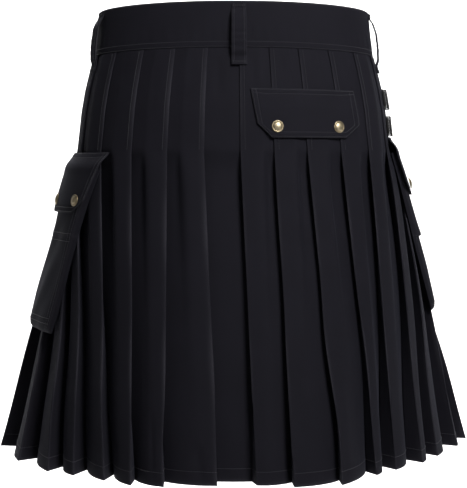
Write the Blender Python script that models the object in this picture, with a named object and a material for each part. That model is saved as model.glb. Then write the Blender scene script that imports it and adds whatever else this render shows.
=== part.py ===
"""Utility kilt: a waistband, a knife-pleated skirt with a lapped front apron, cargo pockets,
a rear pocket flap, belt loops and two buckled hip straps.

Metres, +Z up. The back of the kilt faces -Y and the wearer's right is +X. The origin is the
centre of the waist opening at the waistband's top edge.
"""

import math

import bmesh
import bpy
import numpy as np
from mathutils import Matrix, Vector

# Driving dimensions
LENGTH = 0.610
BAND_HEIGHT = 0.0615
BAND_WALL = 0.0030
BAND_LAP_LEVEL = 0.0024
SEAM_GAP = 0.0003
FRONT_DIP = 0.012
PLAN_POWER = 2.15
FELL = -0.196

CLOTH = 0.0010
LAYER_PITCH = 0.0017
UNDERLAP = 0.018
FOLD_EASE = 0.004
FACE_BULGE = 0.0045
RECESS_MIDDLE = -0.013

APRON_EDGE_ARC = 0.384
APRON_LEFT_EDGE_ARC = 0.084
APRON_HEM_SHARE = 0.424
UNDER_APRON_DROP = 0.009
SIDE_FLARE = 0.019
FLARE_DEPTH = 0.045
FLARE_REACH = 0.095
FLARE_FULL_WIDTH = 0.150

TRIM_CLEAR = 0.0012
FLAP_WALL = 0.0024
POCKET_WALL = 0.0020
POCKET_DEPTH = 0.0062
POCKET_WIDTH = 0.160
POCKET_LENGTH = 0.244
POCKET_MOUTH_DROP = 0.022
POCKET_TUCK = 0.0030
POCKET_TUCK_DROP = 0.115
POCKET_SNAP_DROP = 0.064
POCKET_SNAP_PLACES = (0.085, 0.5, 0.915)
FLAP_HEIGHT = 0.081
FLAP_OVERHANG = 0.006
FLAP_CORNER = 0.018
POCKET_FLAP_CORNER_SHARE = 0.11
REAR_FLAP_CORNER_SHARE = 0.14

LOOP_WIDTH = 0.0186
LOOP_WALL = 0.0020
LOOP_BOW = 0.0068
LOOP_SEAT = 0.00042
LOOP_TOP = -0.003
LOOP_BOTTOM = -0.084

SNAP_RADIUS = 0.0080
STRAP_WIDTH = 0.025
LEATHER = 0.0025
BUCKLE_WIRE = 0.0016
BUCKLE_HALF_LENGTH = 0.0150
BUCKLE_HALF_HEIGHT = 0.0165
BUCKLE_CORNER = 0.004
BUCKLE_OFFSET = 0.006
PRONG_RADIUS = 0.0010
STRAP_TIP_SHARE = 0.35

# Body sections: height, half width, half depth at the back, half depth at the front
SECTIONS = np.array([
    (0.0000, 0.186, 0.118, 0.108),
    (-0.0300, 0.189, 0.121, 0.111),
    (-0.0615, 0.193, 0.124, 0.114),
    (-0.0800, 0.198, 0.128, 0.118),
    (-0.1100, 0.205, 0.134, 0.123),
    (-0.1400, 0.210, 0.140, 0.128),
    (FELL, 0.216, 0.145, 0.134),
])

RING_HEIGHTS = (
    -BAND_HEIGHT - SEAM_GAP, -0.085, -0.110, -0.140, -0.168, FELL,
    -0.230, -0.285, -0.355, -0.440, -0.525, -LENGTH,
)

# Right-hand folds: arc from centre back at the seam, hem peak x and y, hem valley x and y
RIGHT_FOLDS = np.array([
    (0.0086, 0.029, -0.252, 0.024, -0.232),
    (0.0474, 0.075, -0.261, 0.073, -0.236),
    (0.0862, 0.135, -0.249, 0.132, -0.226),
    (0.1293, 0.184, -0.195, 0.171, -0.176),
    (0.1720, 0.212, -0.165, 0.192, -0.143),
    (0.2180, 0.252, -0.123, 0.231, -0.105),
    (0.2600, 0.278, -0.081, 0.258, -0.064),
    (0.3000, 0.315, -0.017, 0.292, -0.006),
    (0.3380, 0.336, 0.038, 0.310, 0.042),
    (0.3720, 0.330, 0.102, 0.304, 0.096),
])

# Left-hand folds, the same columns, with arcs counted away from centre back
LEFT_FOLDS = np.array([
    (0.0346, -0.021, -0.254, -0.022, -0.232),
    (0.0775, -0.086, -0.260, -0.086, -0.233),
    (0.1220, -0.128, -0.251, -0.124, -0.222),
    (0.1670, -0.163, -0.225, -0.153, -0.194),
    (0.2120, -0.205, -0.197, -0.190, -0.166),
    (0.2530, -0.240, -0.174, -0.222, -0.146),
    (0.2920, -0.288, -0.112, -0.264, -0.095),
    (0.3290, -0.328, -0.014, -0.301, -0.018),
    (0.3620, -0.334, 0.062, -0.307, 0.052),
    (0.3940, -0.312, 0.126, -0.286, 0.112),
])

# Smooth front hem: fraction of the waist round from centre back, x and y
FRONT_HEM = np.array([
    (0.430, 0.255, 0.171),
    (0.470, 0.130, 0.200),
    (0.500, 0.000, 0.206),
    (0.530, -0.130, 0.200),
    (0.570, -0.250, 0.172),
])

# Cargo pockets: name, side, flap top height, rear edge y at the flap's top and at the bottom
POCKETS = (
    ("left", -1, -0.198, -0.110, -0.078),
    ("right", 1, -0.176, -0.035, 0.006),
)

# Belt loops: name, arc at the seam
LOOPS = (
    ("belt_loop_back", 0.0073),
    ("belt_loop_left", -0.220),
    ("belt_loop_right", 0.235),
    ("belt_loop_front_left", -0.464),
    ("belt_loop_front_right", 0.464),
)

# Hip straps: name, height of the centre line
STRAPS = (("upper", -0.120), ("lower", -0.159))
STRAP_APRON_ARC = 0.455
BUCKLE_ARC = 0.290
STRAP_TIP_ARC = BUCKLE_ARC - 0.040
TAB_END_ARC = BUCKLE_ARC - 0.062
KEEPER_ARC = BUCKLE_ARC - 0.026
SECOND_LAYER = TRIM_CLEAR + LEATHER + SEAM_GAP
OVER_BAR = SECOND_LAYER + 2 * BUCKLE_WIRE + 0.0016

# Waistband snaps: arc at the seam and heights
WAIST_SNAP_ARC = 0.397
WAIST_SNAP_HEIGHTS = (-0.018, -0.043)

# Rear flap: left and right x along its top and above its lower corners, and its heights
REAR_FLAP_TOP_X = (0.022, 0.158)
REAR_FLAP_BOTTOM_X = (0.031, 0.166)
REAR_FLAP_HEIGHTS = (-0.115, -0.179)
REAR_SNAPS_X = (0.0565, 0.1365)
REAR_SNAP_HEIGHT = -0.1645


def clear_scene():
    for thing in list(bpy.data.objects):
        bpy.data.objects.remove(thing, do_unlink=True)


def material(name, colour, roughness, metallic=0.0):
    made = bpy.data.materials.new(name)
    made.use_nodes = True
    shader = made.node_tree.nodes["Principled BSDF"]
    shader.inputs["Base Color"].default_value = (*colour, 1.0)
    shader.inputs["Roughness"].default_value = roughness
    shader.inputs["Metallic"].default_value = metallic
    return made


def plan_curve(height):
    """The body's plan at a height: a superellipse, deeper behind than in front, and its arc.

    The points run from centre front by the left side, the back and the right side to centre
    front. The arc is a share of the whole round, zero at centre back.
    """
    order = np.argsort(SECTIONS[:, 0])
    width, back, front = (
        np.interp(height, SECTIONS[order, 0], SECTIONS[order, k]) for k in (1, 2, 3)
    )
    turn = np.linspace(-math.pi, math.pi, 721)
    across, along = np.sin(turn), np.cos(turn)
    x = width * np.sign(across) * np.abs(across) ** (2 / PLAN_POWER)
    depth = np.where(along > 0, back, front)
    y = -depth * np.sign(along) * np.abs(along) ** (2 / PLAN_POWER)
    points = np.stack([x, y], -1)
    steps = np.linalg.norm(np.diff(points, axis=0), axis=1)
    arc = np.concatenate([[0.0], np.cumsum(steps)])
    return points, arc / arc[-1] - 0.5, arc[-1]


SEAM_ROUND = plan_curve(-BAND_HEIGHT)[2]


def wrapped(share):
    """A share of the round brought between minus a half and a half."""
    return (np.asarray(share, float) + 0.5) % 1.0 - 0.5


def right_hand(direction):
    """The unit vector to the right of travel, which is outwards on a walk by the back."""
    length = np.linalg.norm(direction, axis=-1, keepdims=True)
    return np.stack([direction[..., 1], -direction[..., 0]], -1) / length


def sewn(share, height, level):
    """A plan point of the sewn zone: on the body's curve, moved out by its layer's level."""
    points, arc, _ = plan_curve(height)
    step = 0.002

    def on_curve(value):
        at = wrapped(value)
        return np.stack([np.interp(at, arc, points[:, k]) for k in (0, 1)], -1)

    out = right_hand(on_curve(share + step) - on_curve(share - step))
    return on_curve(share) + out * np.asarray(level)[..., None]


def hem_knots():
    """The hem's outer curve as shares of the round and plan points, in rising order."""
    right = np.column_stack([RIGHT_FOLDS[:, 0] / SEAM_ROUND, RIGHT_FOLDS[:, 1:3]])
    left = np.column_stack([-LEFT_FOLDS[:, 0] / SEAM_ROUND, LEFT_FOLDS[:, 1:3]])
    front = FRONT_HEM.copy()
    front[:, 0] = wrapped(front[:, 0] - 1e-9)
    knots = np.concatenate([left, right, front])
    return knots[np.argsort(knots[:, 0])]


HEM_KNOTS = hem_knots()


def hem_curve(share):
    """The hem's outer curve: a closed cubic through the fold peaks, with each knot's slope
    taken from its two neighbours."""
    knots = np.concatenate([
        HEM_KNOTS[-2:] - (1, 0, 0), HEM_KNOTS, HEM_KNOTS[:2] + (1, 0, 0),
    ])
    at, points = knots[:, 0], knots[:, 1:]
    slope = (points[2:] - points[:-2]) / (at[2:] - at[:-2])[:, None]
    at, points = at[1:-1], points[1:-1]
    value = wrapped(share)
    k = np.clip(np.searchsorted(at, value, side="right") - 1, 0, len(at) - 2)
    span = at[k + 1] - at[k]
    t = ((value - at[k]) / span)[..., None]
    span = span[..., None]
    return (
        (2 * t**3 - 3 * t**2 + 1) * points[k]
        + (t**3 - 2 * t**2 + t) * span * slope[k]
        + (3 * t**2 - 2 * t**3) * points[k + 1]
        + (t**3 - t**2) * span * slope[k + 1]
    )


def release(height):
    """How far a height is from the fell, 0, to the hem, 1."""
    return min(max((FELL - height) / (FELL + LENGTH), 0.0), 1.0)


def dip(share, height):
    """How much the waist sits lower towards the front, fading out down to the fell."""
    fade = np.clip((height - FELL) / (-BAND_HEIGHT - FELL), 0.0, 1.0)
    return FRONT_DIP * (1 - np.cos(2 * math.pi * np.asarray(share))) / 2 * fade


def flared(plan, opened):
    """Plan points swung out sideways between the fell and the hem, most where the pockets hang."""
    near = np.exp(-(((plan[..., 1] - FLARE_DEPTH) / FLARE_REACH) ** 2))
    side = np.clip(plan[..., 0] / FLARE_FULL_WIDTH, -1.0, 1.0)
    swing = SIDE_FLARE * near * side * opened * (1 - opened) * (5.4 - 3.4 * opened)
    return np.stack([plan[..., 0] + swing, plan[..., 1]], -1)


def skin_plan(share, height):
    """The skirt's outermost cloth line at one height, over the pleats."""
    opened = release(height)
    body = sewn(share, max(height, FELL), LAYER_PITCH + 0 * np.asarray(share))
    return flared(body * (1 - opened) + hem_curve(share) * opened, opened)


def skin_row(share, height, lift):
    """Points over the pleats at one height, lift metres outside the outermost cloth line."""
    share = np.asarray(share, float)
    step = 0.004
    out = right_hand(skin_plan(share + step, height) - skin_plan(share - step, height))
    plan = skin_plan(share, height) + out * (np.asarray(lift) + 0 * share)[:, None]
    return np.column_stack([plan, height - dip(share, height)])


def skin(shares, heights, lifts):
    """A grid of points over the pleats, a row for each height."""
    rows = [skin_row(s, h, l) for s, h, l in zip(shares, heights, lifts)]
    return np.array(rows)


def moved_share(share, height, distance):
    """The share of the round that lies a distance along the skin from another share."""
    dense = np.linspace(-0.5, 0.5, 801)
    line = skin_plan(dense, height)
    steps = np.linalg.norm(np.diff(line, axis=0), axis=1)
    arc = np.concatenate([[0.0], np.cumsum(steps)])
    target = (np.interp(share, dense, arc) + distance) % arc[-1]
    return np.interp(target, arc, dense)


def share_at_x(x, height):
    """The share of the round where the back half of the skin stands at x."""
    dense = np.linspace(-0.24, 0.24, 801)
    line = skin_plan(dense, height)[:, 0]
    rising = np.maximum.accumulate(line)
    return float(np.interp(x, rising, dense))


def share_at_depth(y, side, height):
    """The share of the round where one flank of the skin stands at y."""
    dense = side * np.linspace(0.08, 0.42, 801)
    line = skin_plan(dense, height)[:, 1]
    rising = np.maximum.accumulate(line)
    return float(np.interp(y, rising, dense))


def new_object(name, mesh, finish, smooth=False):
    mesh.materials.append(finish)
    if smooth:
        mesh.shade_smooth()
        mesh.set_sharp_from_angle(angle=math.radians(40))
    made = bpy.data.objects.new(name, mesh)
    bpy.context.scene.collection.objects.link(made)
    return made


def slab(name, outer, inner, finish):
    """A closed wall between an outer and an inner grid, rows downwards and columns to the
    right. Both sides are cut along the same diagonals, so that the wall keeps its thickness."""
    rows, columns = outer.shape[:2]
    size = rows * columns
    index = np.arange(size).reshape(rows, columns)
    a, b, c, d = (part.ravel() for part in (index[:-1, :-1], index[1:, :-1], index[1:, 1:], index[:-1, 1:]))
    front = np.concatenate([np.stack([a, b, c], -1), np.stack([a, c, d], -1)])
    rim = np.concatenate([index[0, :], index[1:, -1], index[-1, -2::-1], index[-2:0:-1, 0]])
    turned = np.roll(rim, -1)
    edge = np.concatenate([
        np.stack([rim, turned, turned + size], -1), np.stack([rim, turned + size, rim + size], -1),
    ])
    faces = np.concatenate([front, front[:, ::-1] + size, edge])
    points = np.concatenate([outer.reshape(-1, 3), inner.reshape(-1, 3)])
    mesh = bpy.data.meshes.new(name)
    mesh.from_pydata(points.tolist(), [], faces.tolist())
    return new_object(name, mesh, finish)


def wall(name, line, heights, thickness, finish):
    """A cloth wall along plan lines, a row for each height: every corner moves both ways
    along the bisector of its two edges' normals, by half the wall over the turn's half cosine."""
    normal = right_hand(np.diff(line, axis=1))
    first = np.concatenate([normal[:, :1], normal], 1)
    last = np.concatenate([normal, normal[:, -1:]], 1)
    total = first + last
    shift = total * thickness / np.sum(total * total, -1, keepdims=True)
    sides = [
        np.concatenate([line + sign * shift, heights[..., None]], -1) for sign in (1, -1)
    ]
    return slab(name, sides[0], sides[1], finish)


def fold_columns(folds, side):
    """The columns of one side's pleats, from the centre outwards: share of the round, layer
    level and hem point, six to each fold and its face's middle.

    A face stays outside its own underlap, sinks to the inner layer, runs under the next fold,
    turns back on the middle layer and comes out at the next fold's edge.
    """
    columns = []
    for k, (arc, peak_x, peak_y, valley_x, valley_y) in enumerate(folds):
        peak, valley = np.array((peak_x, peak_y)), np.array((valley_x, valley_y))
        at = side * arc / SEAM_ROUND
        out = right_hand(hem_curve(np.array(at + 0.004)) - hem_curve(np.array(at - 0.004)))
        half = out * LAYER_PITCH / 2
        if k:
            start = folds[k - 1][1:3]
            before = folds[k - 1][0]
            first, last = before + UNDERLAP + FOLD_EASE, arc - FOLD_EASE
            for place, level, along in (
                (first, LAYER_PITCH, 0.30), ((first + last) / 2, 0.0, 0.55), (last, -LAYER_PITCH, 0.80),
            ):
                chord = start + (valley - start) * along
                bulge = out * FACE_BULGE * 4 * along * (1 - along)
                columns.append((side * place, level, *(chord + bulge)))
        else:
            columns.append((side * (arc - FOLD_EASE), -LAYER_PITCH, *(valley * (0.5, 1.0))))
        inner = side * (arc + UNDERLAP)
        columns.append((inner, -LAYER_PITCH, *(valley - half)))
        columns.append((inner, 0.0, *(valley + half)))
        columns.append((side * arc, 0.0, *(peak - 2 * half)))
        columns.append((side * arc, LAYER_PITCH, *peak))
    made = np.array(columns)
    made[:, 0] /= SEAM_ROUND
    return made


def skirt_line(columns):
    """Plan lines of a run of pleat columns, a row for each ring, and their heights."""
    share, level, hem = columns[:, 0], columns[:, 1], columns[:, 2:]
    lines, heights = [], []
    for height in RING_HEIGHTS:
        opened = release(height)
        body = sewn(share, max(height, FELL), level)
        lines.append(flared(body * (1 - opened) + hem * opened, opened))
        heights.append(height - dip(share, height))
    return np.array(lines), np.array(heights)


def front_columns(shares, hem_shares, level, drop):
    """Apron columns: shares of the round at the seam and at the hem, a layer level above, and
    a drop inside the hem's curve below."""
    out = right_hand(hem_curve(hem_shares + 0.004) - hem_curve(hem_shares - 0.004))
    hem = hem_curve(hem_shares) - out * np.asarray(drop)[..., None]
    return np.column_stack([shares, level + 0 * shares, hem])


def make_skirt(cloth):
    """The pleated panels, parted in the pleats' inner folds, and the two aprons."""
    right = fold_columns(RIGHT_FOLDS, 1)
    left = fold_columns(LEFT_FOLDS, -1)[::-1]
    middle = np.array([(RECESS_MIDDLE / SEAM_ROUND, -LAYER_PITCH, 0.001, -0.2325)])
    first, per_fold = 2, 7

    def right_end(fold):
        return first + per_fold * (fold - 1)

    def left_end(fold):
        return len(left) - right_end(fold)

    under_shares = np.concatenate([[0.3875, 0.398], np.linspace(0.415, 0.575, 9)])
    under = front_columns(
        under_shares,
        under_shares,
        np.concatenate([[LAYER_PITCH, 0.0], np.full(9, -LAYER_PITCH)]),
        np.concatenate([[0.003, 0.006], np.full(9, UNDER_APRON_DROP)]),
    )
    free_edge = APRON_EDGE_ARC / SEAM_ROUND
    over_shares = np.concatenate([np.linspace(free_edge, 0.43, 4), np.linspace(0.45, 0.593, 8)])
    over_rise = np.interp(over_shares, (free_edge, 0.44), (1.3, 0.0)) * LAYER_PITCH
    over_hem = np.interp(over_shares, (free_edge, 0.45, 1.0), (APRON_HEM_SHARE, 0.45, 1.0))
    over = front_columns(over_shares, over_hem, LAYER_PITCH + over_rise, -over_rise)
    panels = {
        "skirt_back_centre": np.concatenate([left[left_end(3):], middle, right[:right_end(3)]]),
        "skirt_back_right": right[right_end(3):right_end(6)],
        "skirt_side_right": right[right_end(6):right_end(9)],
        "skirt_back_left": left[left_end(6):left_end(3)],
        "skirt_side_left": left[left_end(10):left_end(6)],
        "under_apron": np.concatenate([right[right_end(9):], under]),
        "over_apron": np.concatenate([over, left[:left_end(10)]]),
    }
    for name, columns in panels.items():
        line, heights = skirt_line(columns)
        wall(name, line, heights, CLOTH, cloth)


def make_waistband(cloth):
    """A strip that starts inside at the left front, goes once round by the right hip, the back
    and the left hip, and laps over its own start as far as the apron's free edge."""
    inner_end = 0.5 + APRON_LEFT_EDGE_ARC / SEAM_ROUND
    outer_end = APRON_EDGE_ARC / SEAM_ROUND - 1
    share = np.linspace(outer_end, inner_end, 73)
    level = np.interp(share, (-0.455, -0.38, 0.28, 0.36), (1, 0, 0, -1)) * BAND_LAP_LEVEL
    rows = (0.0, -0.030, -BAND_HEIGHT)
    line = np.array([sewn(share, height, level) for height in rows])
    front_drop = FRONT_DIP * (1 - np.cos(2 * math.pi * share)) / 2
    heights = np.array([height - front_drop for height in rows])
    wall("waistband", line, heights, BAND_WALL, cloth)


def make_loop(name, arc, cloth):
    """A belt loop: a strip sewn down at both ends that bows away from the band between them."""
    heights = np.array([LOOP_TOP, -0.010, -0.017, -0.026, -0.042, -0.056, -0.066, -0.073, LOOP_BOTTOM])
    bow = np.array([0.0, 0.0, 0.55, 0.9, 1.0, 0.9, 0.55, 0.0, 0.0]) * LOOP_BOW
    lap = BAND_LAP_LEVEL if abs(arc) > APRON_EDGE_ARC else 0.0
    on_band = lap + BAND_WALL / 2 + LOOP_SEAT - LAYER_PITCH
    base = np.where(heights > -BAND_HEIGHT, on_band, CLOTH / 2 + LOOP_SEAT)
    share = np.array([moved_share(arc / SEAM_ROUND, 0.0, d) for d in (-LOOP_WIDTH / 2, 0, LOOP_WIDTH / 2)])
    shares = [share] * len(heights)
    inner = skin(shares, heights, base + bow)
    outer = skin(shares, heights, base + bow + LOOP_WALL)
    slab(name, outer, inner, cloth)


def corner_rise(across, reach, rise):
    """How much a flap's lower edge is cut up towards its two corners."""
    near = np.minimum(across, 1 - across)
    return rise * np.clip(1 - near / reach, 0, 1)


def make_rear_flap(cloth):
    """The rear pocket's flap, over the sewn pleats."""
    across = np.array([0, 0.07, 0.14, 0.22, 0.3, 0.4, 0.5, 0.6, 0.7, 0.78, 0.86, 0.93, 1.0])
    down = np.linspace(0, 1, 5)
    top, bottom = REAR_FLAP_HEIGHTS
    outer, inner = [], []
    for v in down:
        left = np.interp(v, (0, 1), (REAR_FLAP_TOP_X[0], REAR_FLAP_BOTTOM_X[0]))
        right = np.interp(v, (0, 1), (REAR_FLAP_TOP_X[1], REAR_FLAP_BOTTOM_X[1]))
        cut = corner_rise(across, REAR_FLAP_CORNER_SHARE, FLAP_CORNER)
        heights = top + v * (bottom + cut - top)
        points = [share_at_x(left + u * (right - left), h) for u, h in zip(across, heights)]
        for grid, lift in ((inner, TRIM_CLEAR), (outer, TRIM_CLEAR + FLAP_WALL)):
            grid.append([skin_row([s], h, lift)[0] for s, h in zip(points, heights)])
    slab("rear_flap", np.array(outer), np.array(inner), cloth)


def pocket_row(pocket, height, distances):
    """Shares of the round that lie given distances in front of a pocket's rear edge."""
    _, side, top, rear_top, rear_bottom = pocket
    rear_y = np.interp(-height, (-top, POCKET_LENGTH - top), (rear_top, rear_bottom))
    rear = share_at_depth(rear_y, side, height)
    return np.array([moved_share(rear, height, side * distance) for distance in distances])


def make_pocket_body(pocket, cloth):
    """A patch pocket: it stands off the skirt inside rounded edges, is open at its top and
    steps in under a tuck."""
    name, side, top, _, _ = pocket
    bottom, mouth, tuck = top - POCKET_LENGTH, top - POCKET_MOUTH_DROP, top - POCKET_TUCK_DROP
    across = np.array([0, 0.03, 0.07, 0.17, 0.28, 0.39, 0.5, 0.61, 0.72, 0.83, 0.93, 0.97, 1.0])
    edge = np.interp(np.minimum(across, 1 - across), (0, 0.03, 0.07, 0.5), (0, 0.55, 0.92, 1.0))
    heights = np.array([
        mouth, mouth - 0.03, mouth - 0.06, tuck + 0.004, tuck - 0.0005, tuck - 0.03,
        bottom + 0.06, bottom + 0.03, bottom + 0.011, bottom + 0.004, bottom,
    ])
    fall = np.array([1.0, 1.0, 1.0, 1.0, 1.0, 1.0, 1.0, 1.0, 0.92, 0.55, 0.0])
    step = np.array([0, 0.2, 0.6, 1.0, 0, 0, 0, 0, 0, 0, 0]) * POCKET_TUCK
    shares = [pocket_row(pocket, height, POCKET_WIDTH * across) for height in heights]
    depth = (POCKET_DEPTH * fall + step)[:, None] * edge
    inner = skin(shares, heights, TRIM_CLEAR + depth)
    outer = skin(shares, heights, TRIM_CLEAR + depth + POCKET_WALL)
    if side < 0:
        inner, outer = inner[:, ::-1], outer[:, ::-1]
    slab("pocket_" + name, outer, inner, cloth)


def make_pocket_flap(pocket, cloth):
    """The flap over a pocket's mouth: it rises from the skirt over the pocket, then hangs flat."""
    name, side, top, _, _ = pocket
    across = np.array([0, 0.055, 0.11, 0.17, 0.28, 0.39, 0.5, 0.61, 0.72, 0.83, 0.89, 0.945, 1.0])
    distances = POCKET_WIDTH * across + FLAP_OVERHANG * (across - 0.5)
    down = np.array([0, 0.10, 0.22, 0.34, 0.5, 0.75, 1.0])
    rise = np.interp(down, (0, 0.10, 0.22, 1.0), (0, 0.35, 1.0, 1.0))
    over = POCKET_DEPTH + POCKET_WALL + 2 * SEAM_GAP
    outer, inner = [], []
    for v, up in zip(down, rise):
        cut = corner_rise(across, POCKET_FLAP_CORNER_SHARE, FLAP_CORNER)
        heights = top - v * (FLAP_HEIGHT - cut)
        tuck_lift = POCKET_TUCK * np.clip((top - heights - 0.03) / 0.04, 0, 1)
        lifts = TRIM_CLEAR + (over + tuck_lift) * up
        places = [pocket_row(pocket, h, [d])[0] for h, d in zip(heights, distances)]
        for grid, more in ((inner, 0.0), (outer, FLAP_WALL)):
            grid.append([skin_row([s], h, l + more)[0] for s, h, l in zip(places, heights, lifts)])
    outer, inner = np.array(outer), np.array(inner)
    if side < 0:
        inner, outer = inner[:, ::-1], outer[:, ::-1]
    slab("pocket_flap_" + name, outer, inner, cloth)


def make_pocket_snaps(pocket, brass):
    name, _, top, _, _ = pocket
    seat = TRIM_CLEAR + POCKET_DEPTH + POCKET_WALL + POCKET_TUCK + FLAP_WALL + 3 * SEAM_GAP
    height = top - POCKET_SNAP_DROP
    for number, place in enumerate(POCKET_SNAP_PLACES, 1):
        share = pocket_row(pocket, height, [POCKET_WIDTH * place])[0]
        make_snap(f"pocket_snap_{name}_{number}", share, height, seat, brass)


def frame_at(share, height, lift):
    """A placement on the skin: x along the walk, y up and z outwards."""
    here = Vector(skin_row([share], height, lift)[0])
    along = Vector(skin_row([share + 0.004], height, lift)[0]) - Vector(
        skin_row([share - 0.004], height, lift)[0]
    )
    above = Vector(skin_row([share], height + 0.004, lift)[0]) - Vector(
        skin_row([share], height - 0.004, lift)[0]
    )
    along.normalize()
    out = along.cross(above).normalized()
    up = out.cross(along)
    place = Matrix((along, up, out)).transposed().to_4x4()
    place.translation = here
    return place


def make_snap(name, share, height, lift, brass):
    """A domed cap with a rolled rim: a profile turned about the outward axis."""
    profile = [
        (0.0, 0.0), (0.0074, 0.0), (SNAP_RADIUS, 0.0006), (SNAP_RADIUS, 0.0013),
        (0.0074, 0.0018), (0.0066, 0.0018), (0.0060, 0.0022), (0.0048, 0.0029),
        (0.0028, 0.0034), (0.0, 0.0036),
    ]
    shape = bmesh.new()
    points = [shape.verts.new((r, 0.0, h)) for r, h in profile]
    edges = [shape.edges.new(pair) for pair in zip(points, points[1:])]
    bmesh.ops.spin(
        shape, geom=points + edges, cent=(0, 0, 0), axis=(0, 0, 1), angle=2 * math.pi,
        steps=16, use_duplicate=False,
    )
    bmesh.ops.remove_doubles(shape, verts=shape.verts, dist=1e-6)
    bmesh.ops.recalc_face_normals(shape, faces=shape.faces)
    mesh = bpy.data.meshes.new(name)
    shape.to_mesh(mesh)
    shape.free()
    made = new_object(name, mesh, brass, smooth=True)
    made.matrix_world = frame_at(share, height, lift)


def make_ribbon(name, arcs, lifts, height, width, thickness, finish):
    """A flat strap round the skin at one height: arcs at the seam, a lift at each."""
    shares = np.asarray(arcs) / SEAM_ROUND
    heights = (height + width / 2, height - width / 2)
    inner = skin([shares] * 2, heights, [np.asarray(lifts)] * 2)
    outer = skin([shares] * 2, heights, [np.asarray(lifts) + thickness] * 2)
    slab(name, outer, inner, finish)


def tube(name, path, radius, sides, closed, finish):
    """A round rod along a path of vectors: a ring of points at each, across its direction."""
    path = [Vector(p) for p in path]
    shape = bmesh.new()
    rings = []
    count = len(path)
    for k, here in enumerate(path):
        before = path[(k - 1) % count] if closed or k else here
        after = path[(k + 1) % count] if closed or k < count - 1 else here
        ahead = (after - before).normalized()
        side = ahead.cross(Vector((0, 0, 1))).normalized()
        up = side.cross(ahead)
        rings.append([
            shape.verts.new(here + radius * (math.cos(a) * side + math.sin(a) * up))
            for a in (2 * math.pi * j / sides for j in range(sides))
        ])
    pairs = zip(rings, rings[1:] + rings[:1]) if closed else zip(rings, rings[1:])
    for a, b in pairs:
        for j in range(sides):
            shape.faces.new((a[j], a[(j + 1) % sides], b[(j + 1) % sides], b[j]))
    if not closed:
        shape.faces.new(rings[0])
        shape.faces.new(rings[-1])
    bmesh.ops.recalc_face_normals(shape, faces=shape.faces)
    mesh = bpy.data.meshes.new(name)
    shape.to_mesh(mesh)
    shape.free()
    return new_object(name, mesh, finish, smooth=True)


def make_strap(name, height, leather, brass):
    """One hip strap: the tab sewn on the side pleats, the buckle, the keeper and the strap
    that comes from the apron, goes through the buckle and ends in a tip behind it."""
    tab_arcs = np.linspace(TAB_END_ARC, BUCKLE_ARC - 0.006, 6)
    make_ribbon("strap_tab_" + name, tab_arcs, np.full(6, TRIM_CLEAR), height, STRAP_WIDTH, LEATHER, leather)

    apron = TRIM_CLEAR + 1.3 * LAYER_PITCH
    near_buckle = BUCKLE_ARC + np.array([
        -0.040, -0.028, -0.018, -0.013, -0.009, -0.001, 0.006, 0.015, 0.028, 0.043,
    ])
    lifts_there = np.array([
        SECOND_LAYER, SECOND_LAYER, SECOND_LAYER, OVER_BAR, OVER_BAR, OVER_BAR,
        0.75 * OVER_BAR, 0.55 * OVER_BAR, TRIM_CLEAR + 0.001, TRIM_CLEAR,
    ])
    on_apron = np.concatenate([np.linspace(0.350, 0.440, 7), [STRAP_APRON_ARC]])
    arcs = np.concatenate([near_buckle, on_apron])
    lifts = np.concatenate([lifts_there, np.full(len(on_apron), apron)])
    half = np.full(len(arcs), STRAP_WIDTH / 2)
    half[0] *= STRAP_TIP_SHARE
    grids = []
    for more in (LEATHER, 0.0):
        rows = []
        for sign in (1, -1):
            rows.append([
                skin_row([arc / SEAM_ROUND], height + sign * h, lift + more)[0]
                for arc, h, lift in zip(arcs, half, lifts)
            ])
        grids.append(np.array(rows))
    slab("strap_" + name, grids[0], grids[1], leather)
    make_buckle(name, height, brass)
    make_keeper(name, height, leather)


def make_buckle(name, height, brass):
    """A wire frame with round corners that rises towards its outer bar, and its prong."""
    centre = frame_at(BUCKLE_ARC / SEAM_ROUND, height, SECOND_LAYER + SEAM_GAP + BUCKLE_WIRE)
    bar_rise = 0.55 * OVER_BAR + LEATHER - SECOND_LAYER + 0.0012
    corners = []
    for quarter, (sx, sy) in enumerate(((1, 1), (-1, 1), (-1, -1), (1, -1))):
        for j in range(3):
            turn = math.pi / 2 * (quarter + j / 2)
            x = sx * (BUCKLE_HALF_LENGTH - BUCKLE_CORNER) + BUCKLE_CORNER * math.cos(turn)
            y = sy * (BUCKLE_HALF_HEIGHT - BUCKLE_CORNER) + BUCKLE_CORNER * math.sin(turn)
            rise = bar_rise * max(0.0, (x + BUCKLE_HALF_LENGTH) / (2 * BUCKLE_HALF_LENGTH))
            corners.append(centre @ Vector((x + BUCKLE_OFFSET, y, rise)))
    tube("buckle_frame_" + name, corners, BUCKLE_WIRE, 8, True, brass)

    top = OVER_BAR + LEATHER - SECOND_LAYER + 0.0008
    prong = [
        centre @ Vector((x, 0.0, z))
        for x, z in ((-0.006, top), (0.004, top), (0.013, top - 0.0006), (0.023, bar_rise + 0.0034))
    ]
    tube("buckle_prong_" + name, prong, PRONG_RADIUS, 6, False, brass)


def make_keeper(name, height, leather):
    """A leather loop across the strap and its tab: an arch standing at both strap edges."""
    half, wall_up, width = STRAP_WIDTH / 2 + 0.0008, 0.0016, 0.008
    lift = SECOND_LAYER + LEATHER + SEAM_GAP + 0.0003
    rows = [
        (half + wall_up, TRIM_CLEAR, half, TRIM_CLEAR),
        (half + wall_up, lift + wall_up, half, lift),
        (-half - wall_up, lift + wall_up, -half, lift),
        (-half - wall_up, TRIM_CLEAR, -half, TRIM_CLEAR),
    ]
    shares = np.array([KEEPER_ARC - width / 2, KEEPER_ARC + width / 2]) / SEAM_ROUND
    outer = np.array([skin_row(shares, height + r[0], r[1]) for r in rows])
    inner = np.array([skin_row(shares, height + r[2], r[3]) for r in rows])
    slab("strap_keeper_" + name, outer, inner, leather)


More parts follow.
